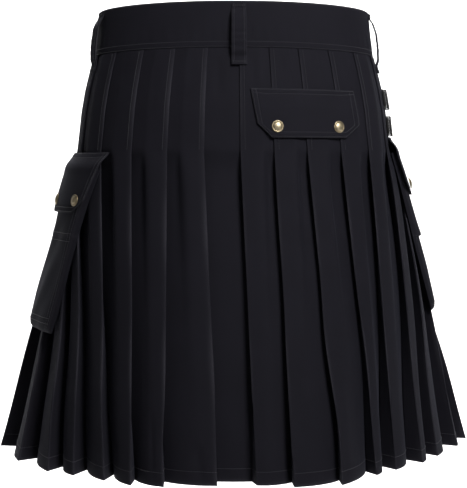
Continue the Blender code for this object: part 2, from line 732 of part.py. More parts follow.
def main():
    clear_scene()
    cloth = material("kilt_cloth", (0.018, 0.018, 0.022), 0.85)
    leather = material("strap_leather", (0.012, 0.011, 0.011), 0.45)
    brass = material("snap_brass", (0.36, 0.24, 0.11), 0.35, 1.0)
    make_skirt(cloth)
    make_waistband(cloth)
    for name, arc in LOOPS:
        make_loop(name, arc, cloth)
    make_rear_flap(cloth)
    seat = TRIM_CLEAR + FLAP_WALL + SEAM_GAP
    for number, x in enumerate(REAR_SNAPS_X, 1):
        share = share_at_x(x, REAR_SNAP_HEIGHT)
        make_snap(f"rear_snap_{number}", share, REAR_SNAP_HEIGHT, seat, brass)
    for pocket in POCKETS:
        make_pocket_body(pocket, cloth)
        make_pocket_flap(pocket, cloth)
        make_pocket_snaps(pocket, brass)
    for name, height in STRAPS:
        make_strap(name, height, leather, brass)
    band_seat = BAND_LAP_LEVEL + BAND_WALL / 2 + SEAM_GAP - LAYER_PITCH
    for number, height in enumerate(WAIST_SNAP_HEIGHTS, 1):
        make_snap(f"waist_snap_{number}", WAIST_SNAP_ARC / SEAM_ROUND, height, band_seat, brass)


main()
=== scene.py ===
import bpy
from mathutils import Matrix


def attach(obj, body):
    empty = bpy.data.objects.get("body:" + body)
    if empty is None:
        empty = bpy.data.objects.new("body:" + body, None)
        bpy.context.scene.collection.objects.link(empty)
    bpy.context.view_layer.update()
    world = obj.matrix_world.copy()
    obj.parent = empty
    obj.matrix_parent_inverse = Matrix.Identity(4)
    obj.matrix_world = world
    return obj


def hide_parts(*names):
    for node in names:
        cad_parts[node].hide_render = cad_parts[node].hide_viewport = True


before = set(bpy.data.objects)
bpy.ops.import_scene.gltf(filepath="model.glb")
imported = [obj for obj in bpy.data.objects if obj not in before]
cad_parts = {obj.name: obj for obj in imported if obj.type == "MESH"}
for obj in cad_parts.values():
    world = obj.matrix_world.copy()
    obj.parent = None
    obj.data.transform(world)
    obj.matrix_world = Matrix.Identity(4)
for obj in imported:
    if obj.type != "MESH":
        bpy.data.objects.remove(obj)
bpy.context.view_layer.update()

import math

import bpy
import numpy as np
from bpy.props import FloatProperty, FloatVectorProperty, IntProperty, PointerProperty

bl_info = {
    "name": "Utility Kilt",
    "version": (1, 0, 0),
    "blender": (4, 5, 0),
    "location": "View3D > Sidebar > Kilt",
    "description": "Dresses a worn utility kilt with twill, topstitching, snaps and buckled straps",
    "category": "Object",
}

# Sizes shared with the solids, in metres
LENGTH = 0.610
BAND_HEIGHT = 0.0615
BAND_LAP_LEVEL = 0.0024
SEAM_GAP = 0.0003
FRONT_DIP = 0.012
PLAN_POWER = 2.15
FELL = -0.196
LAYER_PITCH = 0.0017
UNDERLAP = 0.018
FOLD_EASE = 0.004
FACE_BULGE = 0.0060
RECESS_MIDDLE = -0.013
APRON_EDGE_ARC = 0.384
APRON_LEFT_EDGE_ARC = 0.084
APRON_HEM_SHARE = 0.424
UNDER_APRON_DROP = 0.009
SIDE_FLARE = 0.019
FLARE_DEPTH = 0.045
FLARE_REACH = 0.095
FLARE_FULL_WIDTH = 0.150
GAPE = 0.0085
GAPE_REACH = 0.048
CREASE_STEPS = 6
TRIM_CLEAR = 0.0012
FLAP_WALL = 0.0024
POCKET_WALL = 0.0020
POCKET_DEPTH = 0.0062
POCKET_WIDTH = 0.160
POCKET_LENGTH = 0.244
POCKET_MOUTH_DROP = 0.022
POCKET_TUCK = 0.0030
POCKET_SNAP_DROP = 0.064
SEWN_FLAT = 0.62
PLEAT_STITCH_INSET = 0.0045
POCKET_SNAP_PLACES = (0.085, 0.5, 0.915)
FLAP_HEIGHT = 0.081
FLAP_OVERHANG = 0.006
FLAP_CORNER = 0.018
POCKET_FLAP_CORNER_SHARE = 0.11
REAR_FLAP_CORNER_SHARE = 0.14
LOOP_WIDTH = 0.0186
LOOP_BOW = 0.0068
STRAP_WIDTH = 0.025
LEATHER = 0.0025
BUCKLE_ARC = 0.290
TAB_END_ARC = BUCKLE_ARC - 0.062
STRAP_TIP_ARC = BUCKLE_ARC - 0.040
KEEPER_ARC = BUCKLE_ARC - 0.026
STRAP_APRON_ARC = 0.455
BUCKLE_WIRE = 0.0016
BUCKLE_HALF = (0.0150, 0.0165)
SECOND_LAYER = TRIM_CLEAR + LEATHER + SEAM_GAP
OVER_BAR = SECOND_LAYER + 2 * BUCKLE_WIRE + 0.0016

# Body sections: height, half width, half depth at the back, half depth at the front
SECTIONS = np.array([
    (0.0000, 0.186, 0.118, 0.108),
    (-0.0300, 0.189, 0.121, 0.111),
    (-0.0615, 0.193, 0.124, 0.114),
    (-0.0800, 0.198, 0.128, 0.118),
    (-0.1100, 0.205, 0.134, 0.123),
    (-0.1400, 0.210, 0.140, 0.128),
    (FELL, 0.216, 0.145, 0.134),
])

# Right-hand folds: arc from centre back at the seam, hem peak x and y, hem valley x and y
RIGHT_FOLDS = np.array([
    (0.0086, 0.029, -0.252, 0.024, -0.232),
    (0.0474, 0.075, -0.261, 0.073, -0.236),
    (0.0862, 0.135, -0.249, 0.132, -0.226),
    (0.1293, 0.184, -0.195, 0.171, -0.176),
    (0.1720, 0.212, -0.165, 0.192, -0.143),
    (0.2180, 0.252, -0.123, 0.231, -0.105),
    (0.2600, 0.278, -0.081, 0.258, -0.064),
    (0.3000, 0.315, -0.017, 0.292, -0.006),
    (0.3380, 0.336, 0.038, 0.310, 0.042),
    (0.3720, 0.330, 0.102, 0.304, 0.096),
])

# Left-hand folds, the same columns, with arcs counted away from centre back
LEFT_FOLDS = np.array([
    (0.0346, -0.021, -0.254, -0.022, -0.232),
    (0.0775, -0.086, -0.260, -0.086, -0.233),
    (0.1220, -0.128, -0.251, -0.124, -0.222),
    (0.1670, -0.163, -0.225, -0.153, -0.194),
    (0.2120, -0.205, -0.197, -0.190, -0.166),
    (0.2530, -0.240, -0.174, -0.222, -0.146),
    (0.2920, -0.288, -0.112, -0.264, -0.095),
    (0.3290, -0.328, -0.014, -0.301, -0.018),
    (0.3620, -0.334, 0.062, -0.307, 0.052),
    (0.3940, -0.312, 0.126, -0.286, 0.112),
])

# Smooth front hem: share of the waist round from centre back, x and y
FRONT_HEM = np.array([
    (0.430, 0.255, 0.171),
    (0.470, 0.130, 0.200),
    (0.500, 0.000, 0.206),
    (0.530, -0.130, 0.200),
    (0.570, -0.250, 0.172),
])

# Soft sway of the hanging cloth: share, height, share reach, height reach, sideways, outwards
SWAYS = np.array([
    (0.085, -0.430, 0.020, 0.050, -0.0032, 0.0010),
    (0.088, -0.545, 0.020, 0.050, 0.0026, 0.0015),
    (0.040, -0.380, 0.018, 0.070, 0.0012, -0.0012),
    (0.128, -0.470, 0.022, 0.070, 0.0024, 0.0016),
    (0.170, -0.360, 0.024, 0.060, -0.0020, 0.0014),
    (0.215, -0.520, 0.026, 0.050, 0.0022, -0.0020),
    (0.262, -0.420, 0.030, 0.080, 0.0020, 0.0024),
    (0.330, -0.500, 0.030, 0.070, -0.0030, 0.0026),
    (0.430, -0.420, 0.040, 0.120, 0.0010, 0.0060),
    (0.485, -0.560, 0.035, 0.140, 0.0000, -0.0050),
    (-0.455, -0.450, 0.034, 0.130, 0.0010, 0.0050),
    (-0.395, -0.520, 0.030, 0.090, 0.0020, -0.0030),
    (-0.034, -0.480, 0.018, 0.060, 0.0014, 0.0008),
    (-0.078, -0.560, 0.020, 0.045, -0.0026, -0.0016),
    (-0.120, -0.400, 0.022, 0.070, 0.0016, 0.0012),
    (-0.165, -0.520, 0.024, 0.060, -0.0018, 0.0018),
    (-0.212, -0.430, 0.026, 0.080, 0.0018, -0.0014),
    (-0.256, -0.540, 0.030, 0.060, -0.0024, 0.0020),
    (-0.330, -0.470, 0.034, 0.090, 0.0028, 0.0026),
])

# Soft troughs pressed into the cloth: share, top, bottom, share half width, depth
TROUGHS = np.array([
    (0.0240, -0.070, -0.125, 0.0045, 0.0009),
    (0.0610, -0.066, -0.100, 0.0050, 0.0010),
    (0.1040, -0.064, -0.108, 0.0040, 0.0008),
    (0.1500, -0.068, -0.135, 0.0050, 0.0009),
    (-0.0180, -0.075, -0.130, 0.0050, 0.0012),
    (-0.0540, -0.066, -0.112, 0.0060, 0.0008),
    (-0.0980, -0.070, -0.160, 0.0050, 0.0007),
    (-0.1440, -0.064, -0.105, 0.0045, 0.0009),
    (-0.0560, -0.560, -0.610, 0.0060, 0.0024),
    (-0.0980, -0.520, -0.610, 0.0050, 0.0018),
    (0.0680, -0.530, -0.610, 0.0070, 0.0022),
    (0.1120, -0.450, -0.600, 0.0060, 0.0016),
    (0.4600, -0.110, -0.330, 0.0100, 0.0022),
    (0.4900, -0.090, -0.220, 0.0070, 0.0014),
    (-0.4700, -0.120, -0.400, 0.0120, 0.0024),
    (-0.4300, -0.100, -0.260, 0.0080, 0.0016),
])

# Cargo pockets: name, side, flap top height, rear edge y at the flap's top and at the bottom
POCKETS = (
    ("left", -1, -0.198, -0.102, -0.086),
    ("right", 1, -0.176, -0.035, 0.006),
)

# The tuck across each pocket: its drop below the flap's top and how far it steps out
TUCKS = {"left": (0.113, 0.0006), "right": (0.138, 0.0045)}

LOOPS = (
    ("belt_loop_back", 0.0073),
    ("belt_loop_left", -0.2125),
    ("belt_loop_right", 0.235),
    ("belt_loop_front_left", -0.464),
    ("belt_loop_front_right", 0.464),
)

STRAPS = (("upper", -0.120), ("lower", -0.159))

REAR_FLAP_TOP_X = (0.022, 0.158)
REAR_FLAP_BOTTOM_X = (0.031, 0.166)
REAR_FLAP_HEIGHTS = (-0.115, -0.179)
REAR_SNAPS_X = (0.0565, 0.1365)
REAR_SNAP_HEIGHT = -0.1645

# The photograph's view: the camera's distance behind the origin, its height, tilt and lens
CAMERA_DISTANCE = 1.914
CAMERA_HEIGHT = -0.210
CAMERA_TILT = math.radians(3.47)
CAMERA_LENS = 100.5
FLOOR_HEIGHT = -1.30


def plan_curve(height):
    """The body's plan: x = a sin^(2/n), y = -b cos^(2/n), with its arc as a share of the round."""
    order = np.argsort(SECTIONS[:, 0])
    width, back, front = (
        np.interp(height, SECTIONS[order, 0], SECTIONS[order, k]) for k in (1, 2, 3)
    )
    turn = np.linspace(-math.pi, math.pi, 1441)
    across, along = np.sin(turn), np.cos(turn)
    x = width * np.sign(across) * np.abs(across) ** (2 / PLAN_POWER)
    y = -np.where(along > 0, back, front) * np.sign(along) * np.abs(along) ** (2 / PLAN_POWER)
    points = np.stack([x, y], -1)
    arc = np.concatenate([[0.0], np.cumsum(np.linalg.norm(np.diff(points, axis=0), axis=1))])
    return points, arc / arc[-1] - 0.5, arc[-1]


SEAM_ROUND = plan_curve(-BAND_HEIGHT)[2]


def wrapped(share):
    """A share of the round brought between minus a half and a half."""
    return (np.asarray(share, float) + 0.5) % 1.0 - 0.5


def right_hand(direction):
    """The unit vector to the right of travel: (dy, -dx) over its length."""
    length = np.maximum(np.linalg.norm(direction, axis=-1, keepdims=True), 1e-12)
    return np.stack([direction[..., 1], -direction[..., 0]], -1) / length


def sewn(share, height, level):
    """A plan point of the sewn zone: the body's curve, moved out along its normal by level."""
    points, arc, _ = plan_curve(height)
    step = 0.003

    def on_curve(value):
        at = wrapped(value)
        return np.stack([np.interp(at, arc, points[:, k]) for k in (0, 1)], -1)

    out = right_hand(on_curve(share + step) - on_curve(share - step))
    return on_curve(share) + out * np.asarray(level)[..., None]


def hem_knots():
    """The hem's outer curve: shares of the round and plan points, in rising order."""
    right = np.column_stack([RIGHT_FOLDS[:, 0] / SEAM_ROUND, RIGHT_FOLDS[:, 1:3]])
    left = np.column_stack([-LEFT_FOLDS[:, 0] / SEAM_ROUND, LEFT_FOLDS[:, 1:3]])
    front = FRONT_HEM.copy()
    front[:, 0] = wrapped(front[:, 0] - 1e-9)
    knots = np.concatenate([left, right, front])
    return knots[np.argsort(knots[:, 0])]


HEM_KNOTS = hem_knots()


def cubic(at, values, fine):
    """A cubic through values at knots: on each span the Hermite blend of the two ends and
    their slopes, a slope being the chord between the two neighbours."""
    inner = (values[2:] - values[:-2]) / (at[2:] - at[:-2])[:, None]
    first = (values[1:2] - values[:1]) / (at[1] - at[0])
    last = (values[-1:] - values[-2:-1]) / (at[-1] - at[-2])
    slope = np.concatenate([first, inner, last])
    k = np.clip(np.searchsorted(at, fine, side="right") - 1, 0, len(at) - 2)
    span = (at[k + 1] - at[k])[..., None]
    t = (fine - at[k])[..., None] / span
    return (
        (2 * t**3 - 3 * t**2 + 1) * values[k]
        + (t**3 - 2 * t**2 + t) * span * slope[k]
        + (3 * t**2 - 2 * t**3) * values[k + 1]
        + (t**3 - t**2) * span * slope[k + 1]
    )


def hem_curve(share):
    """The hem's outer curve at shares of the round: a closed cubic through the fold peaks."""
    knots = np.concatenate([
        HEM_KNOTS[-3:] - (1, 0, 0), HEM_KNOTS, HEM_KNOTS[:3] + (1, 0, 0),
    ])
    return cubic(knots[:, 0], knots[:, 1:], wrapped(share))


def release(height):
    """From 0 at the fell to 1 at the hem, with the start eased: (t + sqrt(t t + e e)) / 2."""
    t = (FELL - height) / (FELL + LENGTH)
    ease = 0.012
    eased = (t + np.sqrt(t * t + ease * ease)) / 2
    full = (1 + math.sqrt(1 + ease * ease)) / 2
    return float(np.clip(eased / full, 0.0, 1.0))


def dip(share, height):
    """How much the waist sits lower towards the front, fading out down to the fell."""
    fade = np.clip((height - FELL) / (-BAND_HEIGHT - FELL), 0.0, 1.0)
    return FRONT_DIP * (1 - np.cos(2 * math.pi * np.asarray(share))) / 2 * fade


def flared(plan, opened):
    """Plan points swung out sideways between the fell and the hem, most where the pockets
    hang: a bell curve in y, times a curve in height that is zero at both ends."""
    near = np.exp(-(((plan[..., 1] - FLARE_DEPTH) / FLARE_REACH) ** 2))
    side = np.clip(plan[..., 0] / FLARE_FULL_WIDTH, -1.0, 1.0)
    swing = SIDE_FLARE * near * side * opened * (1 - opened) * (5.4 - 3.4 * opened)
    return np.stack([plan[..., 0] + swing, plan[..., 1]], -1)


def skin_plan(share, height):
    """The skirt's outermost cloth line at one height, over the pleats."""
    opened = release(height)
    body = sewn(share, max(height, FELL), LAYER_PITCH + 0 * np.asarray(share))
    return flared(body * (1 - opened) + hem_curve(share) * opened, opened)


def skin_row(share, height, lift):
    """Points over the pleats at one height, lift metres outside the outermost cloth line."""
    share = np.asarray(share, float)
    step = 0.004
    out = right_hand(skin_plan(share + step, height) - skin_plan(share - step, height))
    plan = skin_plan(share, height) + out * (np.asarray(lift) + 0 * share)[:, None]
    return np.column_stack([plan, height - dip(share, height)])


def sag(points, share, height):
    """Moves hanging cloth by its sways and troughs: sums of smooth bumps in share and height,
    sideways along the round and outwards, growing below the fell."""
    share, height = np.asarray(share, float), np.asarray(height, float)
    away = wrapped(share[..., None] - SWAYS[:, 0]) / SWAYS[:, 2]
    down = (height[..., None] - SWAYS[:, 1]) / SWAYS[:, 3]
    bump = np.exp(-away**2 - down**2)
    hang = np.clip((FELL - height) / 0.12, 0.0, 1.0)
    side = (bump @ SWAYS[:, 4]) * hang
    out = (bump @ SWAYS[:, 5]) * hang
    near = wrapped(share[..., None] - TROUGHS[:, 0]) / TROUGHS[:, 3]
    middle, half = (TROUGHS[:, 1] + TROUGHS[:, 2]) / 2, (TROUGHS[:, 1] - TROUGHS[:, 2]) / 2
    inside = np.clip(1 - ((height[..., None] - middle) / half) ** 2, 0.0, 1.0)
    out = out - (np.exp(-near**2) * inside) @ TROUGHS[:, 4]
    step = 0.01
    ahead = hem_curve(share + step) - hem_curve(share - step)
    normal = right_hand(ahead)
    tangent = np.stack([-normal[..., 1], normal[..., 0]], -1)
    moved = points.copy()
    moved[..., :2] += tangent * side[..., None] + normal * out[..., None]
    return moved


def arc_shares(height, shares, distances):
    """Shares of the round that lie given distances along the skin from a start share."""
    dense = np.linspace(-0.5, 0.5, 1201)
    line = skin_plan(dense, height)
    arc = np.concatenate([[0.0], np.cumsum(np.linalg.norm(np.diff(line, axis=0), axis=1))])
    target = (np.interp(shares, dense, arc) + distances) % arc[-1]
    return np.interp(target, arc, dense)


def share_at_x(x, height):
    """The share of the round where the back half of the skin stands at x."""
    dense = np.linspace(-0.24, 0.24, 801)
    line = np.maximum.accumulate(skin_plan(dense, height)[:, 0])
    return np.interp(x, line, dense)


def share_at_depth(y, side, height):
    """The share of the round where one flank of the skin stands at y."""
    dense = side * np.linspace(0.08, 0.42, 801)
    line = np.maximum.accumulate(skin_plan(dense, height)[:, 1])
    return float(np.interp(y, line, dense))


def grid_faces(rows, columns):
    """Quads of a grid, rows downwards and columns to the right, facing the viewer."""
    index = np.arange(rows * columns).reshape(rows, columns)
    corners = (index[:-1, :-1], index[1:, :-1], index[1:, 1:], index[:-1, 1:])
    return np.stack(corners, -1).reshape(-1, 4)


def mesh_object(name, points, faces, finish, uv=None, wear_and_highlight=None, smooth=True):
    """A mesh from arrays, with a cloth map in metres and at each point a value that pales the colour: wear, and on
    the skirt's fold edges also a painted highlight.
    """
    mesh = bpy.data.meshes.new(name)
    mesh.from_pydata(points.tolist(), [], faces.tolist())
    mesh.materials.append(finish)
    if smooth:
        mesh.shade_smooth()
        mesh.set_sharp_from_angle(angle=math.radians(50))
    corner = np.empty(len(mesh.loops), np.int32)
    mesh.loops.foreach_get("vertex_index", corner)
    if uv is not None:
        layer = mesh.uv_layers.new(name="cloth_map")
        layer.data.foreach_set("uv", uv[corner].astype(np.float32).ravel())
    # The point attribute pales the colour for wear and, on the skirt's fold edges, for a painted highlight.
    value = np.zeros(len(points), np.float32) if wear_and_highlight is None else wear_and_highlight.astype(np.float32)
    mesh.attributes.new("wear_and_highlight", "FLOAT", "POINT").data.foreach_set("value", value)
    made = bpy.data.objects.new(name, mesh)
    bpy.context.scene.collection.objects.link(made)
    return made


def cloth_slab(name, outer, inner, finish, uv, wear_and_highlight):
    """A closed thin wall between an outer and an inner grid of points."""
    rows, columns = outer.shape[:2]
    size = rows * columns
    faces = grid_faces(rows, columns)
    index = np.arange(size).reshape(rows, columns)
    rim = np.concatenate([index[0, :], index[1:, -1], index[-1, -2::-1], index[-2:0:-1, 0]])
    turned = np.roll(rim, -1)
    band = np.stack([rim, turned, turned + size, rim + size], -1)
    faces = np.concatenate([faces, faces[:, ::-1] + size, band])
    points = np.concatenate([outer.reshape(-1, 3), inner.reshape(-1, 3)])
    flat_uv, flat_wear_and_highlight = uv.reshape(-1, 2), wear_and_highlight.reshape(-1)
    return mesh_object(
        name, points, faces, finish,
        np.concatenate([flat_uv, flat_uv]), np.concatenate([flat_wear_and_highlight, flat_wear_and_highlight]),
    )


def metre_map(grid):
    """A cloth map: distance along each row and down each column, in metres."""
    across = np.zeros(grid.shape[:2])
    across[:, 1:] = np.cumsum(np.linalg.norm(np.diff(grid, axis=1), axis=-1), axis=1)
    down = np.zeros(grid.shape[:2])
    down[1:] = np.cumsum(np.linalg.norm(np.diff(grid, axis=0), axis=-1), axis=0)
    return np.stack([across, -down], -1)


def grid_normals(grid):
    """Unit normals of a grid, rows downwards and columns to the right, towards the viewer."""
    across = np.gradient(grid, axis=1)
    down = np.gradient(grid, axis=0)
    normal = np.cross(down, across)
    return normal / np.maximum(np.linalg.norm(normal, axis=-1, keepdims=True), 1e-12)


def thickened(middle, thickness, name, finish, wear_and_highlight):
    """A slab about a middle grid, half the given thickness each way along its normals; callers that
    want a soft rim pass a thinner thickness there."""
    half = grid_normals(middle) * (np.asarray(thickness) / 2)[..., None]
    return cloth_slab(name, middle + half, middle - half, finish, metre_map(middle), wear_and_highlight)


def stitch_run(line, normal, pitch, radius=0.00032, fill=0.74):
    """Stitches along a line: every pitch one low dash, a four-sided rod that thins at both
    ends, lying on the surface. Returns points and faces."""
    steps = np.linalg.norm(np.diff(line, axis=0), axis=1)
    arc = np.concatenate([[0.0], np.cumsum(steps)])
    count = max(int(arc[-1] / pitch), 1)
    station = np.array([0.0, 0.22, 0.78, 1.0]) * fill
    at = (np.arange(count)[:, None] + (1 - fill) / 2 + station) * (arc[-1] / count)
    place = np.stack([np.interp(at, arc, line[:, k]) for k in range(3)], -1)
    up = np.stack([np.interp(at, arc, normal[:, k]) for k in range(3)], -1)
    ahead = place[:, -1:] - place[:, :1]
    side = np.cross(up, ahead + 0 * up)
    side /= np.maximum(np.linalg.norm(side, axis=-1, keepdims=True), 1e-12)
    size = radius * np.array([0.45, 1.0, 1.0, 0.45])[:, None]
    centre = place + up * (radius * np.array([0.0, 0.55, 0.55, 0.0]))[:, None]
    ring = [centre + side * size, centre + up * size, centre - side * size, centre - up * size]
    points = np.stack(ring, 2).reshape(-1, 3)
    k = np.arange(4)
    tube = [np.stack([4 * s + k, 4 * s + (k + 1) % 4, 4 * s + 4 + (k + 1) % 4, 4 * s + 4 + k], -1)
            for s in range(3)]
    one = np.concatenate(tube + [np.array([[3, 2, 1, 0], [12, 13, 14, 15]])])
    faces = (one[None] + 16 * np.arange(count)[:, None, None]).reshape(-1, 4)
    return points, faces


def thread_object(name, runs, finish, **how):
    """One mesh of all the stitches of several runs, each a line and its normals."""
    points, faces, size = [], [], 0
    for line, normal in runs:
        some, quads = stitch_run(line, normal, **how)
        points.append(some)
        faces.append(quads + size)
        size += len(some)
    return mesh_object(name, np.concatenate(points), np.concatenate(faces), finish, smooth=False)


def grid_path(grid, v, u):
    """Points of a grid along fractional row and column values, read bilinearly."""
    rows, columns = grid.shape[:2]
    r, c = np.clip(v, 0, 1) * (rows - 1), np.clip(u, 0, 1) * (columns - 1)
    i, j = np.minimum(r.astype(int), rows - 2), np.minimum(c.astype(int), columns - 2)
    a, b = (r - i)[:, None], (c - j)[:, None]
    return (
        grid[i, j] * (1 - a) * (1 - b) + grid[i + 1, j] * a * (1 - b)
        + grid[i, j + 1] * (1 - a) * b + grid[i + 1, j + 1] * a * b
    )


def surface_run(grid, v, u):
    """A stitch line on a grid's surface and the surface's normals along it."""
    v, u = np.broadcast_arrays(np.asarray(v, float), np.asarray(u, float))
    normal = grid_path(grid_normals(grid), v, u)
    return grid_path(grid, v, u), normal / np.linalg.norm(normal, axis=1, keepdims=True)


# Materials

def node_material(name, slot_colour, roughness, metallic=0.0):
    """A node material with its Principled shader's constants set on its own sockets."""
    made = bpy.data.materials.new(name)
    made.use_nodes = True
    nodes, links = made.node_tree.nodes, made.node_tree.links
    shader = nodes["Principled BSDF"]
    shader.inputs["Base Color"].default_value = (*slot_colour, 1.0)
    shader.inputs["Roughness"].default_value = roughness
    shader.inputs["Metallic"].default_value = metallic
    return made, nodes, links, shader


def math_node(nodes, links, operation, first, second):
    node = nodes.new("ShaderNodeMath")
    node.operation = operation
    for socket, value in zip(node.inputs, (first, second)):
        if isinstance(value, (int, float)):
            socket.default_value = value
        else:
            links.new(value, socket)
    return node.outputs[0]


def colour_mix(nodes, links, factor, first, second):
    """A mix of two colours, each a tuple or a socket, by a socket."""
    node = nodes.new("ShaderNodeMix")
    node.data_type = "RGBA"
    links.new(factor, node.inputs["Factor"])
    for socket, value in ((node.inputs[6], first), (node.inputs[7], second)):
        if isinstance(value, tuple):
            socket.default_value = (*value, 1.0)
        else:
            links.new(value, socket)
    return node.outputs[2]


def noise(nodes, links, vector, scale, detail=2.0):
    node = nodes.new("ShaderNodeTexNoise")
    links.new(vector, node.inputs["Vector"])
    node.inputs["Scale"].default_value = scale
    node.inputs["Detail"].default_value = detail
    return node.outputs["Fac"]


def twill_material(name, colour, wear_and_highlight_colour):
    """Cotton twill: diagonal ribs and cross threads as bump, cloudy dye, paler edges from wear; on the skirt's fold
    edges the paler colour is also a painted highlight.
    """
    made, nodes, links, shader = node_material(name, colour, 0.86)
    shader.inputs["Sheen Weight"].default_value = 0.03
    shader.inputs["Sheen Roughness"].default_value = 0.40
    shader.inputs["Sheen Tint"].default_value = (0.72, 0.74, 1.0, 1.0)
    shader.inputs["Specular IOR Level"].default_value = 0.12
    where = nodes.new("ShaderNodeUVMap")
    where.uv_map = "cloth_map"
    turn = nodes.new("ShaderNodeMapping")
    turn.inputs["Rotation"].default_value = (0.0, 0.0, math.radians(58))
    turn.inputs["Scale"].default_value = (1000.0, 1000.0, 1000.0)
    links.new(where.outputs["UV"], turn.inputs["Vector"])
    rib = nodes.new("ShaderNodeTexWave")
    rib.inputs["Scale"].default_value = 0.38
    rib.inputs["Distortion"].default_value = 0.8
    rib.inputs["Detail"].default_value = 1.0
    links.new(turn.outputs["Vector"], rib.inputs["Vector"])
    grain = noise(nodes, links, where.outputs["UV"], 1400.0)
    cloud = noise(nodes, links, where.outputs["UV"], 22.0, 4.0)
    fleck = noise(nodes, links, where.outputs["UV"], 420.0, 2.0)
    height = math_node(nodes, links, "MULTIPLY_ADD", rib.outputs["Fac"], 0.6)
    links.new(grain, height.node.inputs[2])
    bump = nodes.new("ShaderNodeBump")
    bump.inputs["Strength"].default_value = 0.35
    bump.inputs["Distance"].default_value = 0.0002
    links.new(height, bump.inputs["Height"])
    links.new(bump.outputs["Normal"], shader.inputs["Normal"])
    dark = tuple(0.78 * c for c in colour)
    light = tuple(1.22 * c for c in colour)
    dyed = colour_mix(nodes, links, cloud, dark, light)
    flecked = colour_mix(nodes, links, math_node(nodes, links, "MULTIPLY", fleck, 0.35), dyed, light)
    # Paler colour where the point attribute is set: wear on edges and hems, and a painted highlight along the skirt's
    # fold edges.
    wear_and_highlight = nodes.new("ShaderNodeAttribute")
    wear_and_highlight.attribute_name = "wear_and_highlight"
    rub_and_highlight = math_node(nodes, links, "MULTIPLY", wear_and_highlight.outputs["Fac"], math_node(nodes, links, "ADD", fleck, 0.3))
    colour_out = colour_mix(nodes, links, rub_and_highlight, flecked, wear_and_highlight_colour)
    links.new(colour_out, shader.inputs["Base Color"])
    return made


def leather_material(name, colour):
    """Smooth leather: pebbled grain as bump and a cloudy polish."""
    made, nodes, links, shader = node_material(name, colour, 0.42)
    shader.inputs["Specular IOR Level"].default_value = 0.36
    where = nodes.new("ShaderNodeTexCoord")
    cells = nodes.new("ShaderNodeTexVoronoi")
    cells.inputs["Scale"].default_value = 1100.0
    links.new(where.outputs["Object"], cells.inputs["Vector"])
    cloud = noise(nodes, links, where.outputs["Object"], 60.0, 3.0)
    bump = nodes.new("ShaderNodeBump")
    bump.inputs["Strength"].default_value = 0.30
    bump.inputs["Distance"].default_value = 0.0002
    links.new(cells.outputs["Distance"], bump.inputs["Height"])
    links.new(bump.outputs["Normal"], shader.inputs["Normal"])
    light = tuple(1.9 * c for c in colour)
    links.new(colour_mix(nodes, links, cloud, colour, light), shader.inputs["Base Color"])
    rough = math_node(nodes, links, "MULTIPLY_ADD", cloud, 0.25)
    rough.node.inputs[2].default_value = 0.32
    links.new(rough, shader.inputs["Roughness"])
    return made


def brass_material(name, colour, dark):
    """Antique brass: bright on the rubbed crown, darker where the patina stays."""
    made, nodes, links, shader = node_material(name, colour, 0.30, 1.0)
    where = nodes.new("ShaderNodeTexCoord")
    cloud = noise(nodes, links, where.outputs["Object"], 260.0, 3.0)
    wear_and_highlight = nodes.new("ShaderNodeAttribute")
    wear_and_highlight.attribute_name = "wear_and_highlight"
    amount = math_node(nodes, links, "MULTIPLY_ADD", cloud, 0.5)
    links.new(wear_and_highlight.outputs["Fac"], amount.node.inputs[2])
    clipped = math_node(nodes, links, "MINIMUM", amount, 1.0)
    links.new(colour_mix(nodes, links, clipped, dark, colour), shader.inputs["Base Color"])
    rough = math_node(nodes, links, "MULTIPLY_ADD", cloud, 0.22)
    rough.node.inputs[2].default_value = 0.36
    links.new(rough, shader.inputs["Roughness"])
    return made


def thread_material(name, colour):
    """Sewing thread: fine twisted strands as a noise in its colour."""
    made, nodes, links, shader = node_material(name, colour, 0.62)
    shader.inputs["Sheen Weight"].default_value = 0.15
    where = nodes.new("ShaderNodeTexCoord")
    strand = noise(nodes, links, where.outputs["Object"], 2600.0)
    light = tuple(1.5 * c for c in colour)
    links.new(colour_mix(nodes, links, strand, colour, light), shader.inputs["Base Color"])
    return made


def stage_material(name, colour):
    made, nodes, links, shader = node_material(name, colour, 0.9)
    where = nodes.new("ShaderNodeTexCoord")
    cloud = noise(nodes, links, where.outputs["Object"], 1.5)
    soft = tuple(0.98 * c for c in colour)
    links.new(colour_mix(nodes, links, cloud, soft, colour), shader.inputs["Base Color"])
    return made


MADE = {}


def finish_of(kind):
    """The material of a kind, made once from the panel's colours."""
    look = bpy.context.scene.kilt_colours
    makers = {
        "cloth": lambda: twill_material("kilt_twill", tuple(look.cloth), tuple(look.wear_and_highlight)),
        "leather": lambda: leather_material("strap_leather", tuple(look.leather)),
        "brass": lambda: brass_material("snap_brass", tuple(look.brass), tuple(look.patina)),
        "thread": lambda: thread_material("topstitch_thread", tuple(look.thread)),
        "stage": lambda: stage_material("studio_paper", (0.92, 0.92, 0.92)),
    }
    if kind not in MADE:
        MADE[kind] = makers[kind]()
    return MADE[kind]


def place(piece, slot, nodes=(), sheet=None, held="laid", area=None):
    """Rides a piece on the garment and hides its solids; its slot and cut are not used."""
    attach(piece, "root")
    if nodes:
        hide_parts(*nodes)
    return piece


# Pleated cloth

